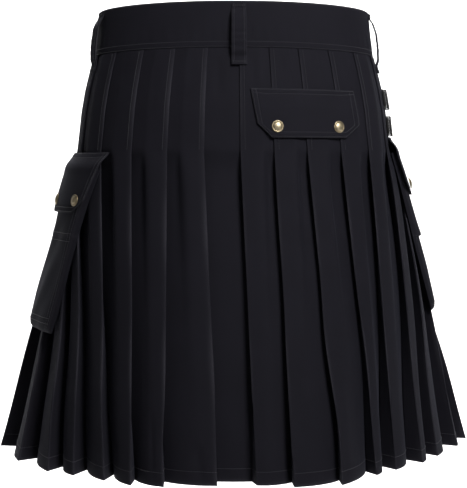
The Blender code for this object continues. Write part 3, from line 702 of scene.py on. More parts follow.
def fold_columns(folds, side):
    """The pleats' corner columns from the centre outwards: share, layer level, hem point and
    turn number. Two columns with one turn number, not zero, are the two sides of a crease."""
    columns = []
    for k, (arc, peak_x, peak_y, valley_x, valley_y) in enumerate(folds):
        peak, valley = np.array((peak_x, peak_y)), np.array((valley_x, valley_y))
        at = side * arc / SEAM_ROUND
        out = right_hand(hem_curve(np.array(at + 0.004)) - hem_curve(np.array(at - 0.004)))
        half = out * LAYER_PITCH / 2
        if k:
            start = folds[k - 1][1:3]
            gap = arc - folds[k - 1][0]
            lap = UNDERLAP + FOLD_EASE
            for part, level, along in (
                (lap / gap, LAYER_PITCH, 0.30),
                (0.5 + UNDERLAP / 2 / gap, 0.0, 0.55),
                ((gap - FOLD_EASE) / gap, -LAYER_PITCH, 0.80),
            ):
                chord = start + (valley - start) * along
                bulge = out * FACE_BULGE * 4 * along * (1 - along)
                where = side * (folds[k - 1][0] + part * gap)
                columns.append((where, level, *(chord + bulge), 0))
        else:
            columns.append((side * (arc - FOLD_EASE), -LAYER_PITCH, *(valley * (0.5, 1.0)), 0))
        inner = side * (arc + UNDERLAP)
        columns.append((inner, -LAYER_PITCH, *(valley - half), 1))
        columns.append((inner, 0.0, *(valley + half), 1))
        columns.append((side * arc, 0.0, *(peak - 2 * half), 2))
        columns.append((side * arc, LAYER_PITCH, *peak, 2))
    made = np.array(columns)
    made[:, 0] /= SEAM_ROUND
    return made


def front_columns(shares, hem_shares, level, drop):
    """Apron columns: shares at the seam and the hem, a layer level and a drop inside the hem."""
    out = right_hand(hem_curve(hem_shares + 0.004) - hem_curve(hem_shares - 0.004))
    hem = hem_curve(hem_shares) - out * np.asarray(drop)[..., None]
    return np.column_stack([shares, level + 0 * shares, hem, 0 * shares])


def skirt_panels():
    """The corner columns of each cloth panel of the skirt, by the name of its solid."""
    right = fold_columns(RIGHT_FOLDS, 1)
    left = fold_columns(LEFT_FOLDS, -1)[::-1]
    middle = np.array([(RECESS_MIDDLE / SEAM_ROUND, -LAYER_PITCH, 0.001, -0.2325, 0)])

    def right_end(fold):
        return 2 + 7 * (fold - 1)

    def left_end(fold):
        return len(left) - right_end(fold)

    under_shares = np.concatenate([[0.3875, 0.398], np.linspace(0.415, 0.575, 9)])
    under = front_columns(
        under_shares, under_shares,
        np.concatenate([[LAYER_PITCH, 0.0], np.full(9, -LAYER_PITCH)]),
        np.concatenate([[0.003, 0.006], np.full(9, UNDER_APRON_DROP)]),
    )
    edge = APRON_EDGE_ARC / SEAM_ROUND
    over_shares = np.concatenate([np.linspace(edge, 0.43, 4), np.linspace(0.45, 0.593, 8)])
    rise = np.interp(over_shares, (edge, 0.44), (1.3, 0.0)) * LAYER_PITCH
    over_hem = np.interp(over_shares, (edge, 0.45, 1.0), (APRON_HEM_SHARE, 0.45, 1.0))
    over = front_columns(over_shares, over_hem, LAYER_PITCH + rise, -rise)
    left_on = left.copy()
    left_on[:, 0] += np.where(np.arange(len(left)) < left_end(10), 1.0, 0.0)
    return {
        "skirt_back_centre": np.concatenate([left[left_end(3) - 1:], middle, right[:right_end(3) + 1]]),
        "skirt_back_right": right[right_end(3) - 1:right_end(6) + 1],
        "skirt_side_right": right[right_end(6) - 1:right_end(9) + 1],
        "skirt_back_left": left[left_end(6) - 1:left_end(3) + 1],
        "skirt_side_left": left[left_end(10) - 1:left_end(6) + 1],
        "under_apron": np.concatenate([right[right_end(9) - 1:], under]),
        "over_apron": np.concatenate([over, left_on[:left_end(10) + 1]]),
    }


def refined(lines, share, turn):
    """Fine columns of a pleated wall: a cubic along each face, a straight return layer and a half
    ellipse round each crease. lines is rows x columns x 2. Returns the fine lines, their shares
    and how near each column is to a fold edge's crease. That nearness later pales the cloth's
    colour there, as wear and as a painted highlight."""
    out, shares, near = [], [], []
    start = 0
    count = len(turn)
    while start < count - 1:
        if turn[start] and turn[start] == turn[start + 1]:
            angle = np.linspace(0, math.pi, CREASE_STEPS + 1)[:-1]
            a, b = lines[:, start], lines[:, start + 1]
            travel = a - lines[:, start - 1] if start else b - lines[:, start + 2]
            across = (a - b) / 2
            tip = right_hand(across) * 0.45 * LAYER_PITCH
            tip *= np.where((travel * tip).sum(-1, keepdims=True) < 0, -1, 1)
            centre = (a + b) / 2
            out.append(
                centre[:, None] + across[:, None] * np.cos(angle)[:, None]
                + tip[:, None] * np.sin(angle)[:, None]
            )
            shares.append(np.full(len(angle), share[start]))
            # A fold edge's crease gets the full value, so its paler colour is wear and a painted highlight; inner
            # creases get none.
            near.append(np.full(len(angle), 1.0 if turn[start] == 2 else 0.0))
            start += 1
            continue
        end = start + 1
        while end < count - 1 and not turn[end]:
            end += 1
        knots = np.arange(end - start + 1, dtype=float)
        fine = np.linspace(0, end - start, 7 * (end - start) + 1)[:-1]
        weights = cubic(knots, np.eye(len(knots)), fine) if len(knots) > 2 else np.stack(
            [1 - fine, fine], -1
        )
        out.append(np.einsum("fk,rkx->rfx", weights, lines[:, start:end + 1]))
        shares.append(weights @ share[start:end + 1])
        # Faces fade from a fold edge over a few fine columns: paler colour there as wear and as a painted highlight.
        edge = np.zeros(len(fine))
        if turn[start] == 2:
            edge = np.maximum(edge, 0.4 * np.exp(-(fine * 20.0)))
        if turn[end] == 2:
            edge = np.maximum(edge, 0.4 * np.exp(-((fine[-1] - fine) * 20.0)))
        near.append(edge)
        start = end
    out.append(lines[:, -1:])
    shares.append(share[-1:])
    near.append(np.zeros(1))
    return np.concatenate(out, 1), np.concatenate(shares), np.concatenate(near)


def panel_grid(columns, rows):
    """Middle points of a pleated panel: at each height the corner columns go from the body's
    curve to the hem by the release, then are refined and swayed."""
    share, level, hem, turn = columns[:, 0], columns[:, 1], columns[:, 2:4], columns[:, 4]
    heights = np.linspace(-BAND_HEIGHT - SEAM_GAP, -LENGTH, rows)
    inner = (level < LAYER_PITCH / 2) & (np.abs(share) < APRON_EDGE_ARC / SEAM_ROUND)
    lines = []
    for height in heights:
        opened = release(height)
        pressed = min(SEWN_FLAT + 6 * opened, 1.0)
        layers = LAYER_PITCH + (level - LAYER_PITCH) * pressed
        body = sewn(share, max(height, FELL), layers)
        line = flared(body * (1 - opened) + hem * opened, opened)
        below = max(FELL - height, 0.0) / GAPE_REACH
        gape = GAPE * below * math.exp(1 - below) * np.where(turn == 1, 1.0, 0.8) * inner
        inwards = right_hand(hem_curve(share + 0.004) - hem_curve(share - 0.004))
        lines.append(line - inwards * gape[:, None] * (turn != 2)[:, None])
    fine, shares, near = refined(np.array(lines), share, turn)
    shared = CREASE_STEPS // 2
    first = shared if turn[0] == 1 and turn[1] == 1 else 0
    last = fine.shape[1] - (shared if turn[-1] == 1 and turn[-2] == 1 else 0)
    fine, shares, near = fine[:, first:last], shares[first:last], near[first:last]
    shares = np.broadcast_to(shares, fine.shape[:2])
    level_height = np.broadcast_to(heights[:, None], fine.shape[:2])
    z = level_height - dip(shares, level_height)
    grid = np.concatenate([fine, z[..., None]], -1)
    return sag(grid, shares, level_height), near, heights


def make_panel(name, columns, rows, cloth_wall):
    """One skirt panel as a thin closed wall, with its fold edges paled as wear and as a painted
    highlight, a paler hem from wear, and its cut size measured from its own cloth."""
    grid, near, heights = panel_grid(columns, rows)
    # Paler colour along the fold edges, uneven with height: wear, and a painted highlight where the fold edges catch
    # the light. The next line pales the hem's edge as wear.
    wear_and_highlight = near[None, :] * np.clip(0.55 + 0.45 * np.sin(heights * 37.0)[:, None], 0.3, 1.0)
    wear_and_highlight = np.maximum(wear_and_highlight, np.exp(-(heights[:, None] + LENGTH) / 0.0016) * 0.8)
    made = thickened(grid, np.full(grid.shape[:2], cloth_wall), name + "_cloth", finish_of("cloth"), wear_and_highlight)
    width = np.linalg.norm(np.diff(grid, axis=1), axis=-1).sum(1)
    length = LENGTH - BAND_HEIGHT + 0.025
    place(made, "kilt_cloth", (name,), (round(float(width.mean()), 3), length), "hung")
    return made, grid


def pleat_runs(wall):
    """Upright topstitching beside each sewn fold, from the waistband down to the fell."""
    heights = np.linspace(-BAND_HEIGHT - 0.002, FELL + 0.001, 50)
    runs = []
    for folds, side in ((RIGHT_FOLDS, 1), (LEFT_FOLDS, -1)):
        for arc in folds[:, 0]:
            shares = side * (arc + PLEAT_STITCH_INSET) / SEAM_ROUND + np.array([-0.002, 0.0, 0.002])
            rows = np.array([skin_row(shares, height, wall / 2 + 0.0001) for height in heights])
            rows = sag(rows, np.broadcast_to(shares, rows.shape[:2]), np.repeat(heights[:, None], 3, 1))
            across = rows[:, 2] - rows[:, 0]
            normal = np.column_stack([right_hand(across[:, :2]), 0 * heights])
            runs.append((rows[:, 1], normal))
    return runs


class KiltSizes(bpy.types.PropertyGroup):
    """Sizes that a user may change."""

    cloth_wall: FloatProperty(
        name="Cloth thickness", description="Thickness of the skirt's twill",
        default=0.0008, min=0.0004, max=0.001, unit="LENGTH",
    )
    rows: IntProperty(
        name="Rows", description="Rows of points down each skirt panel", default=112, min=20, max=200,
    )
    stitch: FloatProperty(
        name="Stitch length", description="Length of one topstitch and its gap",
        default=0.0034, min=0.002, max=0.006, unit="LENGTH",
    )
    snap_radius: FloatProperty(
        name="Snap radius", description="Radius of a snap's cap", default=0.0080, unit="LENGTH",
    )


class KiltColours(bpy.types.PropertyGroup):
    """Colours that a user may change."""

    cloth: FloatVectorProperty(
        name="Twill", description="The cloth's colour", subtype="COLOR",
        default=(0.0064, 0.0060, 0.0092), min=0, max=1,
    )
    # The paler colour for wear on edges and hems, which on the skirt's fold edges is also a painted highlight.
    wear_and_highlight: FloatVectorProperty(
        name="Worn edge", description="The cloth's colour on rubbed folds", subtype="COLOR",
        default=(0.024, 0.023, 0.029), min=0, max=1,
    )
    thread: FloatVectorProperty(
        name="Thread", description="The topstitching's colour", subtype="COLOR",
        default=(0.011, 0.0105, 0.015), min=0, max=1,
    )
    leather: FloatVectorProperty(
        name="Leather", description="The straps' colour", subtype="COLOR",
        default=(0.0065, 0.0060, 0.0060), min=0, max=1,
    )
    brass: FloatVectorProperty(
        name="Brass", description="The snaps' rubbed crown", subtype="COLOR",
        default=(0.50, 0.42, 0.28), min=0, max=1,
    )
    patina: FloatVectorProperty(
        name="Patina", description="The snaps' dark rim", subtype="COLOR",
        default=(0.10, 0.070, 0.034), min=0, max=1,
    )


class KILT_OT_skirt(bpy.types.Operator):
    """Makes the seven pleated and plain panels of the skirt, with their hem stitching"""

    bl_idname = "kilt.make_skirt"
    bl_label = "Skirt"

    def execute(self, context):
        sizes = context.scene.kilt_sizes
        runs = []
        for name, columns in skirt_panels().items():
            _, grid = make_panel(name, columns, sizes.rows, sizes.cloth_wall)
            if name == "under_apron":
                continue
            v = 1 - 0.016 / (LENGTH - BAND_HEIGHT)
            line, normal = surface_run(grid, v, np.linspace(0.0, 1.0, 4 * grid.shape[1]))
            runs.append((line + normal * sizes.cloth_wall / 2, normal))
        thread = thread_object("hem_stitches", runs, finish_of("thread"), pitch=sizes.stitch)
        place(thread, "kilt_cloth")
        runs = pleat_runs(sizes.cloth_wall)
        thread = thread_object("pleat_stitches", runs, finish_of("thread"), pitch=sizes.stitch)
        place(thread, "kilt_cloth")
        return {"FINISHED"}


def band_levels(share):
    """The waistband's level: its outer end lies over its own start across the front."""
    return np.interp(share, (-0.455, -0.38, 0.28, 0.36), (1, 0, 0, -1)) * BAND_LAP_LEVEL


class KILT_OT_waistband(bpy.types.Operator):
    """Makes the waistband strip with its rolled top edge and its rows of topstitching"""

    bl_idname = "kilt.make_waistband"
    bl_label = "Waistband"

    def execute(self, context):
        share = np.linspace(
            APRON_EDGE_ARC / SEAM_ROUND - 1, 0.5 + APRON_LEFT_EDGE_ARC / SEAM_ROUND, 420
        )
        down = np.concatenate([[0, 0.012, 0.035], np.linspace(0.06, 0.94, 27), [0.965, 0.988, 1.0]])
        lines = (0.050, 0.845, 0.965)
        dent = sum(np.exp(-((down - at) / 0.016) ** 2) for at in lines) * 0.0003
        pucker = 0.00025 * np.sin(share * 410 + 2.2 * np.sin(share * 37))
        ripple = np.exp(-((down - 0.70) / 0.16) ** 2)[:, None] * pucker
        thick = np.interp(down, (0, 0.012, 0.035, 0.965, 0.988, 1.0), (0.6, 1.8, 2.6, 2.6, 2.0, 1.2)) / 1000
        rows = []
        for v, dimple, wave in zip(down, dent, ripple):
            height = -v * BAND_HEIGHT
            plan = sewn(share, height, band_levels(share) - dimple + wave)
            z = height - FRONT_DIP * (1 - np.cos(2 * math.pi * share)) / 2
            rows.append(np.column_stack([plan, z]))
        grid = np.array(rows)
        wear_and_highlight = np.broadcast_to(np.exp(-down / 0.03)[:, None] * 0.5, grid.shape[:2])
        spread = np.broadcast_to(thick[:, None], grid.shape[:2])
        made = thickened(grid, spread, "waistband_cloth", finish_of("cloth"), wear_and_highlight)
        length = float(np.linalg.norm(np.diff(grid[15], axis=0), axis=1).sum())
        place(made, "kilt_cloth", ("waistband",), (round(length, 3), BAND_HEIGHT), "stretched")
        outer = grid + grid_normals(grid) * 0.0013
        visible = np.linspace(0.0, 0.83, 1300)
        runs = [surface_run(outer, at, visible) for at in (0.050, 0.845, 0.955)]
        thread = thread_object(
            "waistband_stitches", runs, finish_of("thread"), pitch=context.scene.kilt_sizes.stitch
        )
        place(thread, "kilt_cloth")
        return {"FINISHED"}


class KILT_OT_belt_loops(bpy.types.Operator):
    """Makes the five belt loops with edge stitching, end tacks and uneven puckers"""

    bl_idname = "kilt.make_belt_loops"
    bl_label = "Belt loops"

    def execute(self, context):
        stops = np.array([-0.003, -0.010, -0.017, -0.026, -0.042, -0.056, -0.066, -0.073, -0.084])
        bow = np.array([0.0, 0.0, 0.55, 0.9, 1.0, 0.9, 0.55, 0.0, 0.0])
        height = np.linspace(stops[0], stops[-1], 64)
        fine_bow = cubic(-stops, bow[:, None], -height)[:, 0] * LOOP_BOW
        across = np.linspace(-0.5, 0.5, 15)
        thickness = 0.0017
        runs = []
        for number, (name, arc) in enumerate(LOOPS):
            lap = BAND_LAP_LEVEL if abs(arc) > APRON_EDGE_ARC else 0.0
            seat = np.interp(-height, (0.058, 0.066), (lap + 0.0015 - LAYER_PITCH, 0.0005)) + 0.00042
            pucker = 0.0004 * np.sin(height * 520 + number * 2 + 2 * np.sin(height * 130))
            pucker *= np.interp(-height, (0.004, 0.012, 0.05, 0.07), (0.3, 1.0, 0.6, 0.2))
            share = arc_shares(0.0, arc / SEAM_ROUND, across * LOOP_WIDTH)
            lift = seat + fine_bow + thickness / 2 + pucker
            grid = np.array([skin_row(share, h, l + 0.0002) for h, l in zip(height, lift)])
            rim = np.minimum(0.5 - np.abs(across), 0.12) / 0.12
            spread = np.broadcast_to(thickness * (0.45 + 0.55 * rim), grid.shape[:2])
            wear_and_highlight = np.broadcast_to(0.55 * np.exp(-rim * 4.0), grid.shape[:2])
            made = thickened(grid, spread, name + "_cloth", finish_of("cloth"), wear_and_highlight)
            place(made, "kilt_cloth", (name,), (LOOP_WIDTH, 0.088), "stretched")
            outer = grid + grid_normals(grid) * thickness / 2
            v = np.linspace(0.01, 0.99, 90)
            runs += [surface_run(outer, v, 0.16), surface_run(outer, v, 0.84)]
            u = np.linspace(0.06, 0.94, 30)
            runs += [surface_run(outer, at, u) for at in (0.035, 0.055, 0.945, 0.965)]
        thread = thread_object(
            "belt_loop_stitches", runs, finish_of("thread"), pitch=0.0026
        )
        place(thread, "kilt_cloth")
        return {"FINISHED"}


def corner_rise(across, reach, rise):
    """How much a flap's lower edge is cut up towards its two corners."""
    return rise * np.clip(1 - np.minimum(across, 1 - across) / reach, 0, 1)


def rim_share(rows, columns, size, width):
    """For each grid point, 0 on the rim rising to 1 at width metres inside it."""
    v, u = np.meshgrid(np.linspace(0, 1, rows), np.linspace(0, 1, columns), indexing="ij")
    inside = np.minimum(np.minimum(u, 1 - u) * size[0], np.minimum(v, 1 - v) * size[1])
    return np.clip(inside / width, 0, 1)


def flap_runs(outer, size, insets, top_insets):
    """Stitch lines round a flap: down one side, along its lower edge and up the other side at
    each inset, and along its top at each top inset."""
    runs = []
    for inset in insets:
        u, v = inset / size[0], inset / size[1]
        path_u = np.concatenate([np.full(40, u), np.linspace(u, 1 - u, 90), np.full(40, 1 - u)])
        path_v = np.concatenate([np.linspace(0.0, 1 - v, 40), np.full(90, 1 - v), np.linspace(1 - v, 0.0, 40)])
        runs.append(surface_run(outer, path_v, path_u))
    for inset in top_insets:
        runs.append(surface_run(outer, inset / size[1], np.linspace(0.01, 0.99, 100)))
    return runs


def seam_dent(rows, columns, size, insets, top_insets):
    """How deep topstitching draws a flap in: a narrow groove along each stitch line."""
    v, u = np.meshgrid(np.linspace(0, 1, rows), np.linspace(0, 1, columns), indexing="ij")
    inside = np.minimum(np.minimum(u, 1 - u) * size[0], (1 - v) * size[1])
    dent = sum(np.exp(-((inside - inset) / 0.0011) ** 2) for inset in insets)
    return (dent + sum(np.exp(-((v * size[1] - inset) / 0.0011) ** 2) for inset in top_insets)) * 0.00035


class KILT_OT_rear_flap(bpy.types.Operator):
    """Makes the rear pocket's flap with its double topstitching"""

    bl_idname = "kilt.make_rear_flap"
    bl_label = "Rear flap"

    def execute(self, context):
        rows, columns = 46, 96
        across, down = np.linspace(0, 1, columns), np.linspace(0, 1, rows)
        top, bottom = REAR_FLAP_HEIGHTS
        insets, top_insets = (0.0016, 0.0072), (0.0018, 0.0072)
        size = (0.140, top - bottom)
        dent = seam_dent(rows, columns, size, insets, top_insets)
        rows_made = []
        for v, dimple in zip(down, dent):
            left = np.interp(v, (0, 1), (REAR_FLAP_TOP_X[0], REAR_FLAP_BOTTOM_X[0]))
            right = np.interp(v, (0, 1), (REAR_FLAP_TOP_X[1], REAR_FLAP_BOTTOM_X[1]))
            heights = top + v * (bottom + corner_rise(across, REAR_FLAP_CORNER_SHARE, FLAP_CORNER) - top)
            x = left + across * (right - left)
            share = np.array([share_at_x(a, h) for a, h in zip(x, heights)])
            swell = 0.0006 * math.sin(math.pi * v) + 0.0008 * v**3
            lift = TRIM_CLEAR + FLAP_WALL / 2 + swell - dimple
            rows_made.append(np.array([
                skin_row([s], h, l)[0] for s, h, l in zip(share, heights, lift)
            ]))
        grid = np.array(rows_made)
        rim = rim_share(rows, columns, size, 0.0022)
        made = thickened(
            grid, 0.0022 * (0.35 + 0.65 * rim), "rear_flap_cloth", finish_of("cloth"), 0.7 * np.exp(-rim * 3.5)
        )
        place(made, "kilt_cloth", ("rear_flap",), (0.142, 0.064), "laid")
        outer = grid + grid_normals(grid) * 0.0011
        thread = thread_object(
            "rear_flap_stitches", flap_runs(outer, size, insets, top_insets), finish_of("thread"),
            pitch=context.scene.kilt_sizes.stitch * 0.85,
        )
        place(thread, "kilt_cloth")
        return {"FINISHED"}


def pocket_rear(side, top, rear_top, rear_bottom, height):
    """The share of a pocket's rear edge at one height."""
    y = np.interp(-height, (-top, -top + POCKET_LENGTH), (rear_top, rear_bottom))
    return share_at_depth(y, side, height)


class KILT_OT_pockets(bpy.types.Operator):
    """Makes the two cargo pockets and their flaps with their topstitching"""

    bl_idname = "kilt.make_pockets"
    bl_label = "Cargo pockets"

    def execute(self, context):
        runs = []
        for pocket in POCKETS:
            runs += self.make_body(*pocket)
            runs += self.make_flap(*pocket)
        thread = thread_object(
            "pocket_stitches", runs, finish_of("thread"), pitch=context.scene.kilt_sizes.stitch * 0.9
        )
        place(thread, "kilt_cloth")
        return {"FINISHED"}

    def make_body(self, name, side, top, rear_top, rear_bottom):
        """The pocket's cloth: lift over the skirt = depth x a rounded edge profile across and
        down, plus a tuck that steps in below the pocket's upper part."""
        drop, stand = TUCKS[name]
        bottom, mouth, tuck = top - POCKET_LENGTH, top - POCKET_MOUTH_DROP, top - drop
        across = np.concatenate([
            np.linspace(0, 0.07, 9), np.linspace(0.09, 0.91, 50), np.linspace(0.93, 1.0, 9),
        ])
        heights = np.concatenate([
            np.linspace(mouth, tuck + 0.006, 24), [tuck + 0.003, tuck + 0.001, tuck - 0.001, tuck - 0.004],
            np.linspace(tuck - 0.012, bottom + 0.014, 24), np.linspace(bottom + 0.011, bottom, 9),
        ])
        edge = np.interp(np.minimum(across, 1 - across), (0, 0.03, 0.07, 0.5), (0, 0.55, 0.92, 1.0))
        fall = np.interp(heights, (bottom, bottom + 0.004, bottom + 0.011, bottom + 0.03), (0, 0.55, 0.92, 1.0))
        step = np.interp(heights, (tuck - 0.001, tuck + 0.001, tuck + 0.02, mouth), (0, 1.0, 0.75, 0)) * stand
        slump = np.exp(-((heights[:, None] - (bottom + 0.05)) / 0.05) ** 2) * np.sin(across * math.pi) * 0.0016
        wave = 0.0007 * np.sin(across * 17 + heights[:, None] * 60 + side) * np.sin(across * math.pi)
        depth = (POCKET_DEPTH * fall[:, None] + step[:, None]) * edge + slump * fall[:, None] + wave
        rows = []
        for height, row in zip(heights, depth):
            rear = pocket_rear(side, top, rear_top, rear_bottom, height)
            share = arc_shares(height, rear, side * POCKET_WIDTH * across)
            rows.append(skin_row(share, height, TRIM_CLEAR + POCKET_WALL / 2 + row))
        grid = np.array(rows)
        if side < 0:
            grid = grid[:, ::-1]
        rim = np.minimum(across, 1 - across)
        wear_and_highlight = np.exp(-((rim - 0.045) / 0.014) ** 2)[None, :] * 0.45 + np.exp(-((heights - tuck - 0.001) / 0.002) ** 2)[:, None] * 0.4
        thick = np.full(grid.shape[:2], 0.0014)
        made = thickened(grid, thick, f"pocket_{name}_cloth", finish_of("cloth"), wear_and_highlight if side > 0 else wear_and_highlight[:, ::-1])
        place(made, "kilt_cloth", (f"pocket_{name}",), (POCKET_WIDTH + 0.030, POCKET_LENGTH + 0.010), "laid")
        outer = grid + grid_normals(grid) * 0.0007
        v = np.linspace(0.0, 0.985, 120)
        u = np.linspace(0.10, 0.90, 100)
        found = [surface_run(outer, v, at) for at in (0.115, 0.150, 0.850, 0.885)]
        found += [surface_run(outer, at, u) for at in (0.395, 0.455, 0.830, 0.860)]
        return found

    def make_flap(self, name, side, top, rear_top, rear_bottom):
        """The flap's cloth: it rises from the skirt over the pocket's mouth, then hangs flat."""
        rows, columns = 54, 90
        across, down = np.linspace(0, 1, columns), np.linspace(0, 1, rows)
        over = POCKET_DEPTH + POCKET_WALL + 2 * SEAM_GAP
        rise = np.interp(down, (0, 0.03, 0.10, 0.22, 1.0), (0, 0.04, 0.35, 1.0, 1.0))
        rise = np.convolve(np.pad(rise, 3, mode="edge"), np.ones(7) / 7, mode="valid")
        insets, top_insets = (0.0016, 0.0072), (0.0018, 0.0076)
        size = (POCKET_WIDTH + FLAP_OVERHANG, FLAP_HEIGHT)
        dent = seam_dent(rows, columns, size, insets, top_insets)
        made_rows = []
        for v, up, dimple in zip(down, rise, dent):
            heights = top - v * (FLAP_HEIGHT - corner_rise(across, POCKET_FLAP_CORNER_SHARE, FLAP_CORNER))
            tuck_lift = POCKET_TUCK * np.clip((top - heights - 0.03) / 0.04, 0, 1)
            lift = TRIM_CLEAR + FLAP_WALL / 2 + (over + tuck_lift) * up - dimple
            lift = lift + 0.0006 * np.sin(across * 9 + v * 4) * v
            rear = np.array([pocket_rear(side, top, rear_top, rear_bottom, h) for h in heights])
            away = side * (POCKET_WIDTH * across + FLAP_OVERHANG * (across - 0.5))
            share = np.array([arc_shares(h, r, a) for h, r, a in zip(heights, rear, away)])
            made_rows.append(np.array([skin_row([s], h, l)[0] for s, h, l in zip(share, heights, lift)]))
        grid = np.array(made_rows)
        if side < 0:
            grid = grid[:, ::-1]
        rim = rim_share(rows, columns, size, 0.0022)
        made = thickened(
            grid, 0.0020 * (0.35 + 0.65 * rim), f"pocket_flap_{name}_cloth", finish_of("cloth"),
            0.7 * np.exp(-rim * 3.5),
        )
        place(made, "kilt_cloth", (f"pocket_flap_{name}",), (0.170, 0.086), "laid")
        outer = grid + grid_normals(grid) * 0.0010
        return flap_runs(outer, size, insets, top_insets)


def skin_frame(share, height, lift):
    """A point on the skin with its unit vectors along the round, up the cloth and outwards."""
    here = skin_row([share], height, lift)[0]
    along = skin_row([share + 0.004], height, lift)[0] - skin_row([share - 0.004], height, lift)[0]
    above = skin_row([share], height + 0.004, lift)[0] - skin_row([share], height - 0.004, lift)[0]
    along /= np.linalg.norm(along)
    out = np.cross(along, above)
    out /= np.linalg.norm(out)
    return here, along, np.cross(out, along), out


def lathe(profile, place_frame, sides):
    """A profile of radius and height turned about the outward axis of a frame."""
    here, along, up, out = place_frame
    turn = np.linspace(0, 2 * math.pi, sides, endpoint=False)
    ring = np.cos(turn)[:, None] * along + np.sin(turn)[:, None] * up
    points = here + profile[:, 0, None, None] * ring + profile[:, 1, None, None] * out
    rows = len(profile)
    index = np.arange(rows * sides).reshape(rows, sides)
    beside = np.roll(index, -1, axis=1)
    faces = np.stack([index[:-1], beside[:-1], beside[1:], index[1:]], -1).reshape(-1, 4)
    return points.reshape(-1, 3), faces


SNAP_PROFILE = np.array([
    (0.0074, 0.0), (0.0079, 0.0003), (0.0080, 0.0008), (0.0079, 0.0013), (0.0076, 0.0017),
    (0.0071, 0.0019), (0.0066, 0.0018), (0.0062, 0.0016), (0.0060, 0.0017), (0.0056, 0.0021),
    (0.0048, 0.0026), (0.0038, 0.0030), (0.0026, 0.0033), (0.0012, 0.0035), (0.0001, 0.0036),
])


def make_snap(name, share, height, lift, node):
    """A snap's cap: a domed crown inside a rolled rim."""
    rows, sides = len(SNAP_PROFILE), 40
    points, faces = lathe(SNAP_PROFILE, skin_frame(share, height, lift), sides)
    caps = [np.arange(sides)[::-1], (rows - 1) * sides + np.arange(sides)]
    all_faces = faces.tolist() + [cap.tolist() for cap in caps]
    mesh = bpy.data.meshes.new(name)
    mesh.from_pydata(points.tolist(), [], all_faces)
    mesh.materials.append(finish_of("brass"))
    mesh.shade_smooth()
    mesh.set_sharp_from_angle(angle=math.radians(60))
    rub = np.interp(SNAP_PROFILE[:, 0], (0.0, 0.0045, 0.0060, 0.0066, 0.0072, 0.0080), (1.0, 0.75, 0.15, 0.1, 0.45, 0.1))
    mesh.attributes.new("wear_and_highlight", "FLOAT", "POINT").data.foreach_set(
        "value", np.repeat(rub, sides).astype(np.float32)
    )
    made = bpy.data.objects.new(name, mesh)
    bpy.context.scene.collection.objects.link(made)
    return place(made, "snap_brass", (node,))


class KILT_OT_snaps(bpy.types.Operator):
    """Makes the domed snap caps of the rear flap, the pocket flaps and the waistband"""

    bl_idname = "kilt.make_snaps"
    bl_label = "Snaps"

    def execute(self, context):
        seat = TRIM_CLEAR + FLAP_WALL + SEAM_GAP
        for number, x in enumerate(REAR_SNAPS_X, 1):
            share = share_at_x(x, REAR_SNAP_HEIGHT)
            make_snap(f"rear_snap_{number}_cap", share, REAR_SNAP_HEIGHT, seat, f"rear_snap_{number}")
        seat = TRIM_CLEAR + POCKET_DEPTH + POCKET_WALL + 3 * SEAM_GAP + POCKET_TUCK + FLAP_WALL
        for name, side, top, rear_top, rear_bottom in POCKETS:
            height = top - POCKET_SNAP_DROP
            rear = pocket_rear(side, top, rear_top, rear_bottom, height)
            for number, u in enumerate(POCKET_SNAP_PLACES, 1):
                share = arc_shares(height, rear, side * POCKET_WIDTH * u)
                make_snap(
                    f"pocket_snap_{name}_{number}_cap", float(share), height, seat - 0.0004,
                    f"pocket_snap_{name}_{number}",
                )
        seat = BAND_LAP_LEVEL + 0.0015 + SEAM_GAP - LAYER_PITCH
        for number, height in ((1, -0.018), (2, -0.043)):
            make_snap(f"waist_snap_{number}_cap", 0.397 / SEAM_ROUND, height, seat, f"waist_snap_{number}")
        return {"FINISHED"}


def strap_grid(arcs, lifts, height, half, columns):
    """A strap's middle points: columns across its width, a row at each arc along it."""
    across = np.linspace(1, -1, columns)
    rows = [
        np.array([skin_row([arc / SEAM_ROUND], height + a * h, lift)[0] for a in across])
        for arc, lift, h in zip(arcs, lifts, half)
    ]
    return np.array(rows).transpose(1, 0, 2)


def tube_mesh(path, radius, sides, closed):
    """A round rod along a path: a circle across its direction at each point."""
    ahead = np.roll(path, -1, 0) - np.roll(path, 1, 0) if closed else np.gradient(path, axis=0)
    ahead /= np.linalg.norm(ahead, axis=1, keepdims=True)
    side = np.cross(ahead, (0.0, 0.0, 1.0))
    side /= np.linalg.norm(side, axis=1, keepdims=True)
    up = np.cross(side, ahead)
    turn = np.linspace(0, 2 * math.pi, sides, endpoint=False)
    reach = np.asarray(radius) * np.ones(len(path))
    ring = np.cos(turn)[None, :, None] * side[:, None] + np.sin(turn)[None, :, None] * up[:, None]
    points = path[:, None] + ring * reach[:, None, None]
    rows = len(path)
    index = np.arange(rows * sides).reshape(rows, sides)
    after = np.roll(index, -1, 0) if closed else index[1:]
    index = index if closed else index[:-1]
    faces = np.stack([index, np.roll(index, -1, 1), np.roll(after, -1, 1), after], -1).reshape(-1, 4)
    faces = faces[:, ::-1]
    return points.reshape(-1, 3), faces


